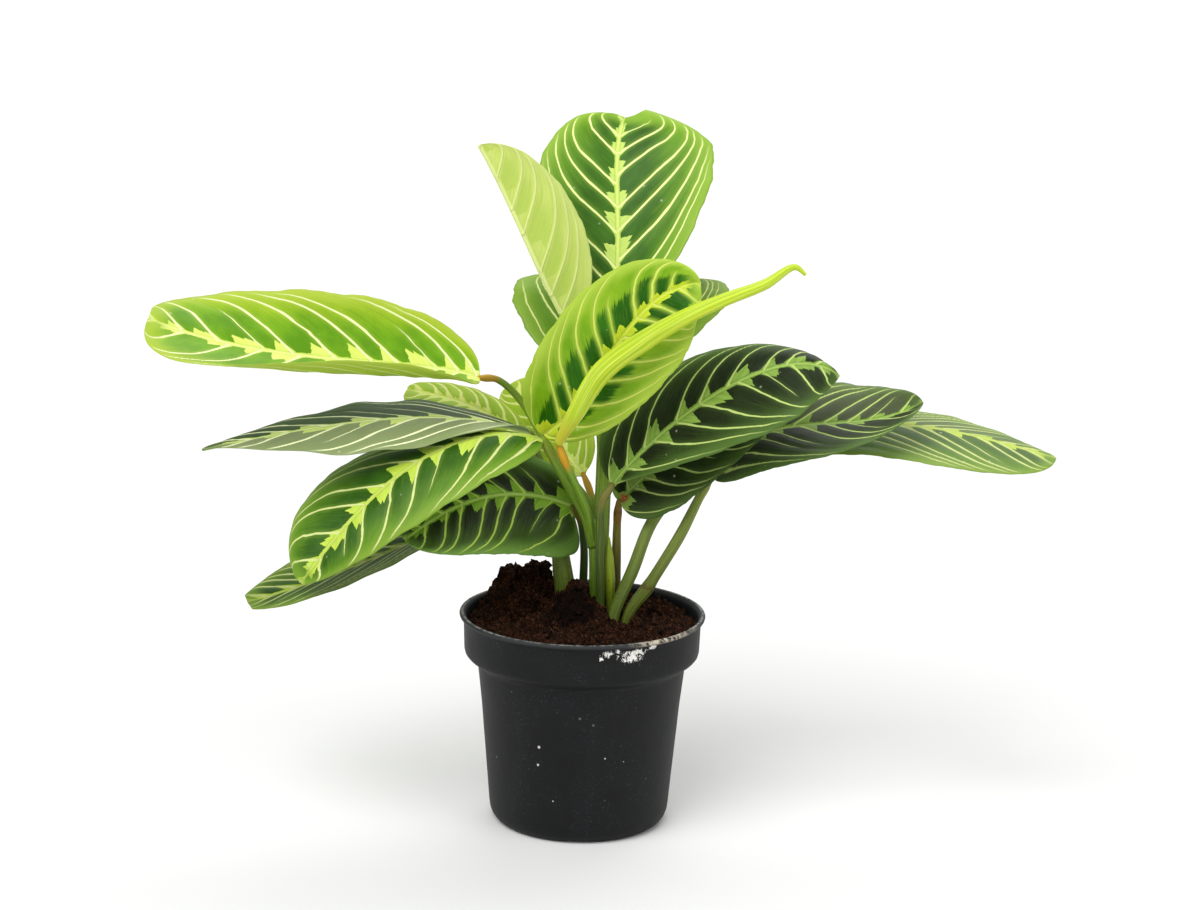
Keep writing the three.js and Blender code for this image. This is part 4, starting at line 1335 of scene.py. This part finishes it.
def blade(leaf):
    """The places of a fine closed blade, and the two notes that its finish reads."""
    along = np.clip((1 - np.cos(np.pi * np.linspace(0, 1, ROWS))) / 2, NEAR_BASE, NEAR_TIP)
    spread = np.linspace(-1, 1, COLUMNS)
    across = np.sign(spread) * np.abs(spread) ** RIB_CROWDING
    middle = blade_middle(leaf, along, across)
    number = vein_number(leaf, along, across)
    every_across, every_along = across[None, :] * np.ones((ROWS, 1)), along[:, None] * np.ones((1, COLUMNS))
    reach = np.abs(every_across)
    from_rib = reach * np.maximum(half_widths(leaf, along, across), NARROWEST)
    rib = np.exp(-(from_rib / RIB_WIDTH) ** 2) * (1 - RIB_NARROWS * every_along)
    places = two_sheets(leaf, middle, pillow(number, reach), rib, reach)
    vein_place = np.stack([number, every_across, every_along], axis=-1)
    vein_size = np.stack([vein_gap(number, middle), from_rib, spaced(leaf, along[:, None], across)], axis=-1)
    return places, [np.vstack([numbers.reshape(-1, 3)] * 2) for numbers in (vein_place, vein_size)]


UNDER = ROWS * COLUMNS
TOP_FACES = woven(ROWS, COLUMNS) + blade_rim(UNDER)
BOTTOM_FACES = woven(ROWS, COLUMNS, first=UNDER, flip=True)
print("faces of a blade:", len(TOP_FACES), "above and", len(BOTTOM_FACES), "below")

# %% [markdown]
# ## The colours of a prayer plant's leaf
# The upper side shows three things: cream lines on the side veins, a pale fishbone band along the midrib,
# and dark patches between them. A painted image would be the quick way, but it blurs close by, and all
# leaves would share it. Here each mark is a sum on the vein number, so that every vein has a line and a
# tooth of its own.

# %% What every mark on a blade starts from
# How far the veins wander to and fro, as a share of a gap, and where that sets in on the way to the margin.
WANDER = 0.22
WANDER_FROM, WANDER_FULL = 0.04, 0.4


class OnBlade:
    """The numbers at each point of a blade, from its notes, its seed and chance."""

    def __init__(self, tree, leaf, wandering):
        self.tree, self.leaf, self.seed = tree, leaf, leaf["seed"]
        self.number, self.across, self.along = apart(kept(tree, "vein_place"))
        self.gap, self.from_rib, self.rib_number = apart(kept(tree, "vein_size"))
        self.reach = self.across.size()
        self.side = self.across.sum("SIGN")
        self.waved = self.number
        if wandering:
            wander = cloud(tree, together(tree, self.number * 0.7, self.across * 2.5, self.seed), 1.4, 2)
            self.waved = self.number + (wander - 0.5) * WANDER * self.reach.rise(WANDER_FROM, WANDER_FULL)
        self.cell = self.waved.whole()
        step = self.waved.share()
        self.from_vein = step.least(step.flipped()) * self.gap
        self.own = self.chance(self.cell, 0)
        self.streaks = self.drawn_out(8, 2.2, 0, 3, 0.6)

    def chance(self, number, kind):
        """A draw for each vein number and side; each kind of draw is a new one."""
        return lot(self.tree, number, self.side, self.seed + kind)

    def drawn_out(self, to_vein, to_half, kind, detail, rough=0.5):
        """Mottling that is drawn out along the veins: so many times to a vein, and to the half blade."""
        place = together(self.tree, self.number * to_vein, self.across * to_half, self.seed + kind)
        return cloud(self.tree, place, 1, detail, rough)


# %% [markdown]
# The cream lines are about a millimetre wide, keep their width up to the margin, and have a soft light
# halo. Now and then one is thin and dies away halfway. All distances are in millimetres from the nearest
# vein.

# %% The cream vein lines
VEIN_HALF = 0.5
VEIN_SOFTNESS = 0.16
HALO_WIDTH = 2.2
THIN_VEINS = 0.16
A_LITTLE = 0.01


def vein_lines(on):
    """The lines, their halo, the distance from their edge, and how much of each vein there is."""
    nearest = (on.waved + 0.5).whole()
    thin = on.chance(nearest, 9).rise(1 - THIN_VEINS - A_LITTLE, 1 - THIN_VEINS)
    presence = on.reach.rise(thin * -0.42 + 0.86, thin * -0.3 + 0.99).flipped()
    half_width = VEIN_HALF * on.leaf["look"].get("vein_width", 1)
    from_edge = on.from_vein - (on.reach.rise(0.55, 1.0) * -0.4 + 1) * (thin * -0.5 + 1) * half_width
    line = from_edge.rise(-VEIN_SOFTNESS, VEIN_SOFTNESS).flipped() * presence
    return line, from_edge.rise(0, HALO_WIDTH).flipped() * presence, from_edge, presence


# %% [markdown]
# The pale band looks like a fishbone. Tipward of each vein it stands out in a tooth of one or two steps,
# then drops back square to the midrib, and stays narrow up to the next vein. It also flares where a vein
# leaves it.

# %% The fishbone band
# A tooth ends this share of a gap tipward of its vein, or up to half as far again; its drop is this short.
CORNER = 0.48
DROP = 0.012
BAND_END, BAND_GONE = 0.93, 0.985


def fishbone(on, from_edge, presence):
    """The pale band along the midrib: its edge climbs in steps to each tooth's corner, then falls back."""
    gap_at_rib = rib_length(on.leaf) / on.leaf["veins"]
    second = on.chance(on.cell, 5)
    rough_place = together(on.tree, on.from_rib * 0.5, on.rib_number * gap_at_rib * 0.5, on.seed)
    rough_edge = cloud(on.tree, rough_place, 1, 5, 0.7) - 0.5
    past_foot = on.rib_number - on.cell - on.from_rib * (second * 0.3 / gap_at_rib)
    corner = on.own * 0.24 + CORNER + rough_edge * 0.16
    climb = (past_foot / corner).most(0)
    steps = (climb * (second.rise(0.3, 0.6) + 2)).share() * 0.11 + climb * 0.2
    size = on.leaf["look"].get("band", 1.0) * gap_at_rib
    taper = on.along.rise(0.4, 0.97).flipped() * 0.6 + 0.4
    tooth = (steps + (on.own * 0.08 + 0.19)) * size * taper * (past_foot - corner).rise(-DROP, DROP).flipped()
    base_fill = on.along.rise(0.0, 0.1).flipped() * 2
    edge = tooth.most(on.along * -0.5 + 1.5) + rough_edge * 1.7 + base_fill
    band = (edge - on.from_rib).rise(-0.1, 0.14) * on.along.rise(BAND_END, BAND_GONE).flipped()
    return band.most((from_edge * 1.2 + on.from_rib * 0.42).rise(1.4, 1.9).flipped() * presence)


# %% [markdown]
# Between the veins lies a dark patch, deep near the band and lighter towards the margin, with a ragged end.
# On the bright leaf it also keeps clear of the veins. The fine strands that fray it run along the veins.

# %% The dark patch
RAGGED = 0.3
STRANDS_SHARE = 0.6


def dark_patch(on, strands, from_edge):
    """One where the patch is, nothing outside it."""
    look = on.leaf["look"]
    end = (on.own - 0.5) * 0.16 + look["patch_end"]
    ragged = (on.streaks - 0.5) * RAGGED + (strands - 0.5) * RAGGED * STRANDS_SHARE
    softness = look["patch_soft"]
    patch = (on.reach + ragged - end).rise(-softness, softness).flipped() * on.along.rise(0.93, 1.0).flipped()
    if "flank" in look:
        patch = patch * (from_edge + (strands - 0.5) * 1.2).rise(look["flank"] * 0.4, look["flank"])
    return patch


# %% [markdown]
# Water leaves small pale specks of lime on every leaf. One old leaf also has a few brown dots, and a torn
# brown spot at its base. Such marks could be modelled, but they have no height to speak of, so colour alone
# does it.

# %% Specks, brown dots and a torn spot
LEAF_CELLS = 260
SPECK_SHARE = 0.4


def blemished(on, colour, strands):
    """The same colour with the leaf's blemishes on it."""
    from_middle, draws = net(on.tree, LEAF_CELLS)
    speck = from_middle.rise(0.08, 0.2).flipped() * draws[0].rise(0.93, 0.95)
    colour = mix(speck * SPECK_SHARE, colour, tint("c9d0bc"))
    dot = from_middle.rise(0.2, 0.45).flipped() * draws[1].rise(0.985, 0.99)
    colour = mix(dot * on.leaf["look"].get("brown", 0), colour, tint("6e4a26"))
    if "wound" in on.leaf:
        axes = zip(apart(where(on.tree)), on.leaf["wound"])
        away = [(axis - middle * MM) * (1 / MM) for axis, middle in axes]
        from_wound = away[0] * away[0] + away[1] * away[1] + away[2] * away[2] + (strands - 0.5) * 8
        colour = mix(from_wound.rise(2.0, 7.0).flipped(), colour, tint("8c4c20"))
        colour = mix(from_wound.rise(0.0, 1.6).flipped() * 0.7, colour, tint("dcc8b4"))
    return colour


# %% [markdown]
# The upper side is laid on in the order in which it would be painted: the green field, the dark patches,
# the strands and the light beside the veins, a painted grey sheen on some leaves that stands in for light
# glancing off them, then the band, the veins and the midrib, and last the blemishes. The veins are a little
# sunk in the relief as well.

# %% The finish of the upper side
LEAF_ROUGHNESS = 0.42
LEAF_SHINE = 0.14
LEAF_RELIEF = 0.2


def leaf_finish(name, leaf):
    look = leaf["look"]
    material, tree, skin = new_finish(name, Roughness=LEAF_ROUGHNESS, Specular_IOR_Level=LEAF_SHINE)
    # The shade factor scales every colour: painted light on the top leaf, painted shade on the low and hidden
    # ones.
    shades = {key: (*[part * look.get("shade", 1) for part in tint(code)[:3]], 1)
              for key, code in look.items() if isinstance(code, str)}
    on = OnBlade(tree, leaf, wandering=True)
    strands = on.drawn_out(26, 3.2, 1, 2, 0.6)
    mottle = cloud(tree, where(tree), 55, 4, 0.6)
    line, halo, from_edge, presence = vein_lines(on)
    band = fishbone(on, from_edge, presence)
    field = mix(mottle.rise(0.3, 0.7), shades["field"], shades["field_light"])
    field = mix(on.reach.rise(0.66, 1.0), field, shades["margin"])
    patch_shade = mix(mottle.rise(0.35, 0.65), shades["patch"], shades["patch_light"])
    colour = mix(dark_patch(on, strands, from_edge), field, patch_shade)
    colour = mix((strands - 0.5).rise(0.0, 0.3) * (on.reach * 0.3 + 0.12), colour, shades["margin"])
    colour = mix(halo * look.get("halo", 0.25), colour, shades["margin"])
    # A painted sheen: grey-green laid on one half of some leaves, as a painted reflection of the light.
    left_sheen, right_sheen = look.get("painted_sheen", (0, 0))
    painted_sheen = (on.across.rise(-0.04, 0.04) * (right_sheen - left_sheen) + left_sheen) * (mottle * 0.5 + 0.7)
    colour = mix(painted_sheen * (on.streaks * 0.3 + 0.8), colour, tint("a6b080"))
    colour = mix(band, colour, mix(on.streaks.rise(0.3, 0.7), shades["band_tint"], shades["band_light"]))
    rib_edge = (on.from_rib - 1.0).size().rise(0.1, 0.4).flipped()
    colour = mix(rib_edge * band * 0.3, colour, shades["field_light"])
    colour = mix(line, colour, shades["vein"])
    rib = (on.from_rib + on.along * 0.35).rise(0.5, 0.85).flipped()
    colour = mix(rib * 0.85, colour, shades["rib"])
    colour = mix(on.along.rise(0.92, 1.0) * 0.5, colour, shades["margin"])
    feed(tree, blemished(on, colour, strands), skin.inputs["Base Color"])
    feed(tree, strands * 0.1 + (mottle * 0.16 + LEAF_ROUGHNESS - 0.13), skin.inputs["Roughness"])
    bumps(tree, skin, strands * 0.5 + line * -0.8 + on.streaks * 0.4, LEAF_RELIEF)
    return material


# %% [markdown]
# The underside is pale and matt. The midrib and veins stand out there, and the dark patches show through
# the thin blade only as a faint green shade, which keeps clear of the midrib.

# %% The finish of the underside
BACK_ROUGHNESS = 0.55
BACK_SHINE = 0.2
BACK_RELIEF = 0.25
BACK_VEIN_HALF = VEIN_HALF * 0.8
BACK_CORNER = 0.58


def back_finish(name, leaf):
    material, tree, skin = new_finish(name, Roughness=BACK_ROUGHNESS, Specular_IOR_Level=BACK_SHINE)
    on = OnBlade(tree, leaf, wandering=False)
    strands = on.drawn_out(30, 3, 0, 2)
    vein = (on.from_vein - BACK_VEIN_HALF).rise(-0.2, 0.3).flipped() * on.reach.rise(0.85, 1.0).flipped()
    past_foot = on.rib_number - on.cell
    ghost_start = (past_foot - (on.own * 0.16 + BACK_CORNER)).rise(-0.02, 0.02).flipped() * 5 + 1.5
    ghost = (on.from_rib - ghost_start).rise(-0.3, 0.6)
    ghost = ghost * (on.reach + (on.streaks - 0.5) * 0.4).rise(0.4, 0.75).flipped()
    ghost = ghost * (on.from_vein - VEIN_HALF).rise(0.2, 1.2)
    shades = {key: tint(code) for key, code in leaf["back"].items()}
    colour = mix(on.streaks.rise(0.3, 0.7), shades["field"], shades["field_light"])
    colour = mix(ghost * 0.7, colour, shades["ghost"])
    colour = mix(on.reach.rise(0.8, 1.0) * 0.5, colour, shades["margin"])
    colour = mix(vein * 0.85, colour, shades["vein"])
    colour = mix(on.from_rib.rise(0.6, 1.3).flipped(), colour, shades["vein"])
    feed(tree, colour, skin.inputs["Base Color"])
    bumps(tree, skin, strands * 0.6 + vein + on.streaks * 0.4, BACK_RELIEF)
    return material


# %% [markdown]
# A leaf darkens as it ages. The newest are yellow-green with clear emerald patches, the grown ones are deep
# green, and the oldest have nearly black patches, with a painted grey sheen on some. Seven sets of colours
# cover the upper sides, three the undersides, and each leaf picks one of each, some with a change or two.
# One change, shade, makes a leaf's whole set lighter on the top leaf and darker on the low and hidden ones:
# painted light and painted shade where it lies, together with its age. A set also says how far out the
# patches reach and how wide the band is.

# %% Colours by age
YOUNG = dict(patch="568a0c", patch_light="6c9e12", field="88a916", field_light="98b422", margin="a2b838",
             band_tint="ccda5c", band_light="dae67c", vein="e0e8a8", rib="d8e28a", patch_end=0.66,
             patch_soft=0.26, band=1.1, vein_width=1.15)
BRIGHT = dict(patch="1c5400", patch_light="2c6a04", field="6c9c0e", field_light="88b020", margin="a6c242",
              band_tint="b8cc1c", band_light="c6d63a", vein="ccda62", rib="d2de54", patch_end=0.46,
              patch_soft=0.05, flank=0.8, band=0.8, vein_width=0.9, halo=0.5)
GROWN = dict(patch="2c5410", patch_light="3a6618", field="5e8c18", field_light="6c9824", margin="86a83a",
             band_tint="bcd844", band_light="cae25c", vein="dae494", rib="ccd870", patch_end=0.62,
             patch_soft=0.36)
OLD = dict(patch="161f0a", patch_light="202c12", field="2e4214", field_light="384f1c", margin="4e6a2c",
           band_tint="74963a", band_light="8cac4c", vein="b8cc74", rib="9cba58", patch_end=0.64,
           patch_soft=0.3, vein_width=0.85, band=1.15)
ARCHED = dict(OLD, patch="28440c", patch_light="305010", field="4a6424", painted_sheen=(0.6, 0), vein="f0f4c8",
              rib="e4ecb0", band_tint="c2d668", band_light="d0de80", band=0.6, vein_width=1.15)
PLAIN = dict(YOUNG, patch="8cac28", patch_light="98b632", band=0.6, vein="d4dc84")
# LOW: the grown colours darkened by shade, as painted shade on the low leaf under the others.
LOW = dict(GROWN, shade=0.56, band=0.3)
PALE_BACK = dict(field="bccf62", field_light="c8d872", ghost="acc650", margin="ccda84", vein="dae490")
LIME_BACK = dict(field="9cba34", field_light="aac43e", ghost="8cae2c", margin="b0c84c", vein="d2e07c")
GREY_BACK = dict(field="839c5c", field_light="8ea868", ghost="738c4c", margin="98ae74", vein="b8ca84")
print("colours in a set:", [key for key, value in GROWN.items() if isinstance(value, str)])

# %% [markdown]
# ## Growing the leaves
# Each leaf has its midrib, the way its upper side faces, its half widths, and where it is widest. Fold and
# curl are in degrees for each side. The numbers were found leaf by leaf against the photograph, with the
# depth chosen so that every blade clears its neighbours when the plant is seen from the side. One function
# makes a leaf from them.

# %% A leaf becomes a piece
def grow(leaves):
    """Makes the blade of each leaf, green above and pale below."""
    for name, leaf in leaves.items():
        places, (vein_place, vein_size) = blade(leaf)
        finishes = [leaf_finish("leaf_" + name, leaf), back_finish("back_" + name, leaf)]
        faces = TOP_FACES + BOTTOM_FACES
        slot = "leaf_lime" if leaf["back"] is LIME_BACK else "leaf_dark"
        piece = make_piece("blade_" + name, places, faces, finishes, ["leaf_" + name], slot)
        kinds = [0] * len(TOP_FACES) + [1] * len(BOTTOM_FACES)
        piece.data.polygons.foreach_set("material_index", kinds)
        note(piece, "vein_place", vein_place)
        note(piece, "vein_size", vein_size)


# %% [markdown]
# Five leaves hang to the left: the long bright one, a dark one below it that is seen nearly from its edge,
# the large one at the front that hangs down beside the pot, and two low ones.

# %% The leaves on the left
LEFT_LEAVES = {
    "long_lime": dict(
        rib=[(-47, 12, 195), (-84, 2, 202), (-134, -12, 209), (-185, -22, 224)],
        face=[(0, -0.22, 0.97), (0, -0.42, 0.9)], half=(36, 34), belly=[(0.45, 0.36), (0.45, 0.36, 0.006)],
        left=([0, -12, -5], [10, 80, 0]), right=([20, 27, -4], [10, 6, -10]),
        look=YOUNG, back=LIME_BACK, veins=10, seed=1),
    "left_arch": dict(
        rib=[(-24.5, 6, 172.5), (-67, -8, 181), (-114, -14, 177), (-164, -14, 166)],
        face=[(0, 0, 1), (0, -0.05, 1)], half=(23.5, 28), belly=[(0.8, 1), (0.6, 0.75)], wave=(0.5, 4, 0),
        left=([26, -19, 10], [0, -6, -5]), right=([0, 3, 0], [0, 0, 0]),
        look=ARCHED, back=GREY_BACK, veins=8, slant=1.8, seed=2),
    "front_left": dict(
        rib=[(-19, -10, 173.5), (-60, -26, 172), (-93, -36, 148), (-119, -40, 115)],
        face=[(-0.1, -0.45, 0.9), (-0.5, -0.8, 0.45)], half=(27, 36), belly=[(0.5, 0.75), (0.85, 0.56)],
        left=([0, 4, 20], [-10, -20, -50]), right=([-30, -14, 20], [-14, -22, -40]),
        look=dict(GROWN, shade=0.84, band=1.25), back=GREY_BACK, veins=9, seed=3),
    "low_left": dict(
        rib=[(-46, 24, 134), (-75, 12, 121), (-108, -6, 110), (-144, -22, 101)],
        face=[(-0.45, -0.1, 0.88), (-0.4, -0.25, 0.9)], half=(24.5, 24),
        belly=[(0.5, 0.4, 0.02), (0.6, 0.8, 0.04)], left=([10, 6, 4], [0]), right=([24, 22, 20], [0]),
        look=LOW, back=PALE_BACK, veins=11, slant=1.9, seed=4),
    "low_inner": dict(
        rib=[(-6, 10, 139), (-32, -4, 147), (-55, -18, 144), (-76, -30, 132)],
        face=[(-0.1, -0.95, 0.3), (-0.3, -0.9, 0.35)], half=(27.5, 21), belly=[(0.32, 0.5), (0.5, 0.55)],
        heel=(27, 6), left=([0], [-10]), right=([-4], [-16]),
        look=dict(OLD, patch_end=0.52, field="3a5416", margin="668c3a", band_tint="66901f",
                  band_light="7ea632", vein="aac454"),
        back=GREY_BACK, veins=8, seed=5),
}
grow(LEFT_LEAVES)

# %% [markdown]
# Three leaves stand up in the middle: the large round one at the top, a folded one beside it that shows its
# pale underside, and the bright one in front.

# %% The upright leaves in the middle
MIDDLE_LEAVES = {
    "top_round": dict(
        rib=[(6, 22, 206), (12, 30, 244), (11, 44, 279), (14, 62, 304)], face=[(0, -1, 0.2), (0, -0.8, 0.7)],
        half=(35.5, 43), belly=[(0.8, 0.56, 0.002), (1.2, 0.45, 0.002)], lobe=(0, 7),
        left=([8], [0]), right=([8], [0]),
        look=dict(GROWN, shade=1.12, band_tint="b0c85c", band_light="bcd26c"),
        back=PALE_BACK, veins=9, seed=6),
    "pale_back": dict(
        rib=[(-7, 14, 216), (-19, 10, 237), (-33, 6, 267), (-48, 0, 297)],
        face=[(0.545, 0.84, 0.3), (0.545, 0.84, 0.3)], half=(26.5, 25.5), belly=[(0.75, 0.68), (0.55, 0.65)],
        left=([60], [-6]), right=([60], [-6]), look=YOUNG, back=PALE_BACK, veins=7, seed=7),
    "front_bright": dict(
        rib=[(-19, 2, 172), (2, -16, 199), (20, -27, 229), (46, -33, 246)],
        face=[(-0.1, -1, 0.1), (-0.2, -1, 0.2)], half=(27.5, 26.5), belly=[(0.4, 0.6), (0.75, 0.42, 0.004)],
        heel=(5, 3), left=([6], [0]), right=([6], [0]), look=BRIGHT, back=LIME_BACK, veins=9, seed=8),
}
grow(MIDDLE_LEAVES)

# %% [markdown]
# Four dark leaves reach out to the right. The farthest lies nearly level, and the lowest has the torn spot.
# Its place is given as x, y and z, beside the base of the blade.

# %% The leaves on the right
RIGHT_LEAVES = {
    "right_upper": dict(
        rib=[(12, 0, 151), (38, -12, 182), (74, -22, 207), (106, -24, 206)],
        face=[(-0.4, -0.7, 0.6), (0.1, -0.7, 0.7)], half=(29, 31), belly=[(0.5, 1), (1.1, 0.62)], heel=(6, 0),
        left=([5, 0, -10], [0, -30, -60]), right=([5], [0]), look=OLD, back=GREY_BACK, veins=9, seed=9),
    "right_second": dict(
        rib=[(55, 6, 154), (81, 0, 177), (113, -4, 182), (144, -6, 192)],
        face=[(-0.3, -0.6, 0.8), (0, -0.5, 0.9)], half=(27.5, 27.5), belly=[(0.5, 0.45), (0.5, 0.45)],
        left=([0, -6], [0]), right=([4, 12, 36], [0]),
        look=dict(OLD, painted_sheen=(0.14, 0)), back=GREY_BACK, veins=9, slant=1.2, seed=10),
    "right_far": dict(
        rib=[(96, 18, 164), (128, 14, 177), (164, 6, 176), (203, -4, 168)],
        face=[(-0.1, -0.2, 0.95), (0.15, -0.25, 0.95)], half=(29, 29), belly=[(0.5, 0.85), (0.5, 0.42)],
        left=([-11], [0]), right=([2, -7, -8], [0]),
        look=dict(GROWN, shade=0.78, painted_sheen=(0.25, 0.12)), back=PALE_BACK, veins=10, slant=1.7, seed=11),
    "right_under": dict(
        rib=[(15, 8, 142), (30, 6, 158), (51, 2, 175), (82, -4, 188)],
        face=[(-0.3, -0.8, 0.5), (-0.1, -0.8, 0.6)], half=(13, 23), belly=[(0.42, 0.6), (0.5, 0.5)],
        heel=(3, 6), left=([0], [0]), right=([0], [0]),
        look=dict(OLD, shade=0.7, brown=0.5), wound=(16.5, 6.5, 144), back=GREY_BACK, veins=8, seed=12),
}
grow(RIGHT_LEAVES)

# %% [markdown]
# Three leaves stand behind the others and show only in part: a broad one in the middle, and two small young
# ones with plain light colours. What is hidden of them is made like the rest.

# %% The leaves at the back
REAR_LEAVES = {
    "back_broad": dict(
        rib=[(8, 28, 179), (11, 44, 198), (13, 60, 217), (14, 84, 227)], face=[(0, -1, 0.4), (0, -0.6, 0.9)],
        half=(48, 50), belly=[(0.9, 0.36), (1.5, 0.36)], left=([6], [0]), right=([6], [0]),
        look=dict(GROWN, shade=0.9), back=PALE_BACK, veins=9, seed=13),
    "lime_behind": dict(
        rib=[(-23, 24, 160), (-43, 36, 173), (-61, 46, 178), (-81, 52, 181)],
        face=[(-0.2, -0.3, 0.9), (-0.3, -0.4, 0.85)], half=(18, 12), belly=[(0.5, 0.35, 0.01), (0.5, 0.4)],
        left=([10], [0]), right=([0], [-10]), look=PLAIN, back=LIME_BACK, veins=9, seed=14),
    "young_center": dict(
        rib=[(-1, 28, 149), (-12, 38, 160), (-24, 48, 172), (-36, 58, 182)],
        face=[(0, -0.8, 0.5), (0, -0.7, 0.6)], half=(16, 18), belly=[(0.5, 0.5), (0.5, 0.5)],
        left=([10], [10]), right=([10], [10]), look=PLAIN, back=LIME_BACK, veins=8, seed=15),
}
grow(REAR_LEAVES)

# %% [markdown]
# ## The leaf that is still rolled
# A new maranta leaf comes up as a tight roll, like a rolled sheet of paper, and opens over a few days. It
# is a tube that tapers at both ends, and its free margin runs along it as a pale line. A tube whose radius
# grows on the way round and then steps back gives that line as real relief. The step turns slowly round the
# roll on its way up.

# %% The rolled leaf's shape
# Its stops are x, y, z and radius, in millimetres.
ROLLED_LEAF = [(-12, -14.2, 172.2, 1.6), (-5, -22, 187, 3.2), (6, -30, 207, 4), (23, -38, 222, 3.8),
               (39, -44, 233, 3), (55, -46, 241, 2.5), (72, -46, 248, 2), (84, -44, 255, 1.2),
               (88.5, -45, 252, 0.6)]
ROLL_STEPS = 14
ROLL_SIDES = 64
ROLL_STEP_HEIGHT = 0.22
# Where on the ring the step starts, and how far it turns for each millimetre, in radians.
ROLL_START = 0.6 * np.pi
ROLL_TWIST = 0.012

line, widths, lengths = smooth_tube(ROLLED_LEAF, ROLL_STEPS)
round_share = np.arange(ROLL_SIDES) / (ROLL_SIDES - 1)
winding = np.array([(round_share - turned / (2 * np.pi)) % 1 for turned in ROLL_START + lengths * ROLL_TWIST])
roll_places, roll_faces = tube(line, widths[:, None] * (1 + ROLL_STEP_HEIGHT * winding), ROLL_SIDES)
print("rolled leaf length in mm:", round(lengths[-1]))

# %% [markdown]
# The roll shows the leaf's lime green back with fine lines along it. The free margin is nearly white, the
# groove beside it is painted darker green as painted shade under the step, and the bottom is tinted like the
# joint below. Its notes hold the place on the ring and the depth in the roll, so that the colours follow the
# step exactly.

# %% The rolled leaf's finish
ROLL_ROUGHNESS = 0.42
ROLL_SHINE = 0.25
ROLL_RELIEF = 0.2
# Up to how many millimetres above its joint the roll is tinted, and where the tint has gone.
TINTED_UP_TO, UNTINTED_FROM = 6.0, 22.0


def rolled_finish():
    material, tree, skin = new_finish("rolled_lime", Roughness=ROLL_ROUGHNESS, Specular_IOR_Level=ROLL_SHINE)
    ring_x, ring_y, along = apart(kept(tree, "roll_place"))
    roll = apart(kept(tree, "roll_depth"))[0]
    lines = cloud(tree, together(tree, ring_x * 3, ring_y * 3, along * 0.012), 1, 4, 0.6)
    fine = cloud(tree, together(tree, ring_x * 14, ring_y * 14, along * 0.04), 1, 3)
    colour = mix(lines.rise(0.4, 0.62), tint("a2c018"), tint("c8da36"))
    colour = mix(fine.rise(0.5, 0.72) * 0.5, colour, tint("dde892"))
    colour = mix(roll.rise(0.93, 0.99) * 0.8, colour, tint("e6eeb0"))
    # Painted shade: the groove tucked under the step is darkened.
    colour = mix(roll.rise(0.0, 0.14).flipped() * 0.5, colour, tint("6f9a14"))
    colour = mix(along.rise(TINTED_UP_TO, UNTINTED_FROM).flipped() * 0.6, colour, tint("c9b63c"))
    feed(tree, colour, skin.inputs["Base Color"])
    bumps(tree, skin, fine * 0.6 + lines, ROLL_RELIEF)
    return material


rolled = make_piece("blade_rolled", roll_places, roll_faces, [rolled_finish()], ["leaf_rolled"], "leaf_lime")
note(rolled, "roll_place", ring_notes(lengths, ROLL_SIDES, ROLL_TWIST))
note(rolled, "roll_depth", np.repeat(np.append(winding, [0, 0]), 3))

# %% [markdown]
# ## The colours
# The fine pieces may not make the plant bigger than its solids. Colours are shown as they are, without a
# film curve, because a plant's greens should be the greens that were picked.

# %% Colours without a film curve
bpy.context.scene.view_settings.view_transform = "Standard"
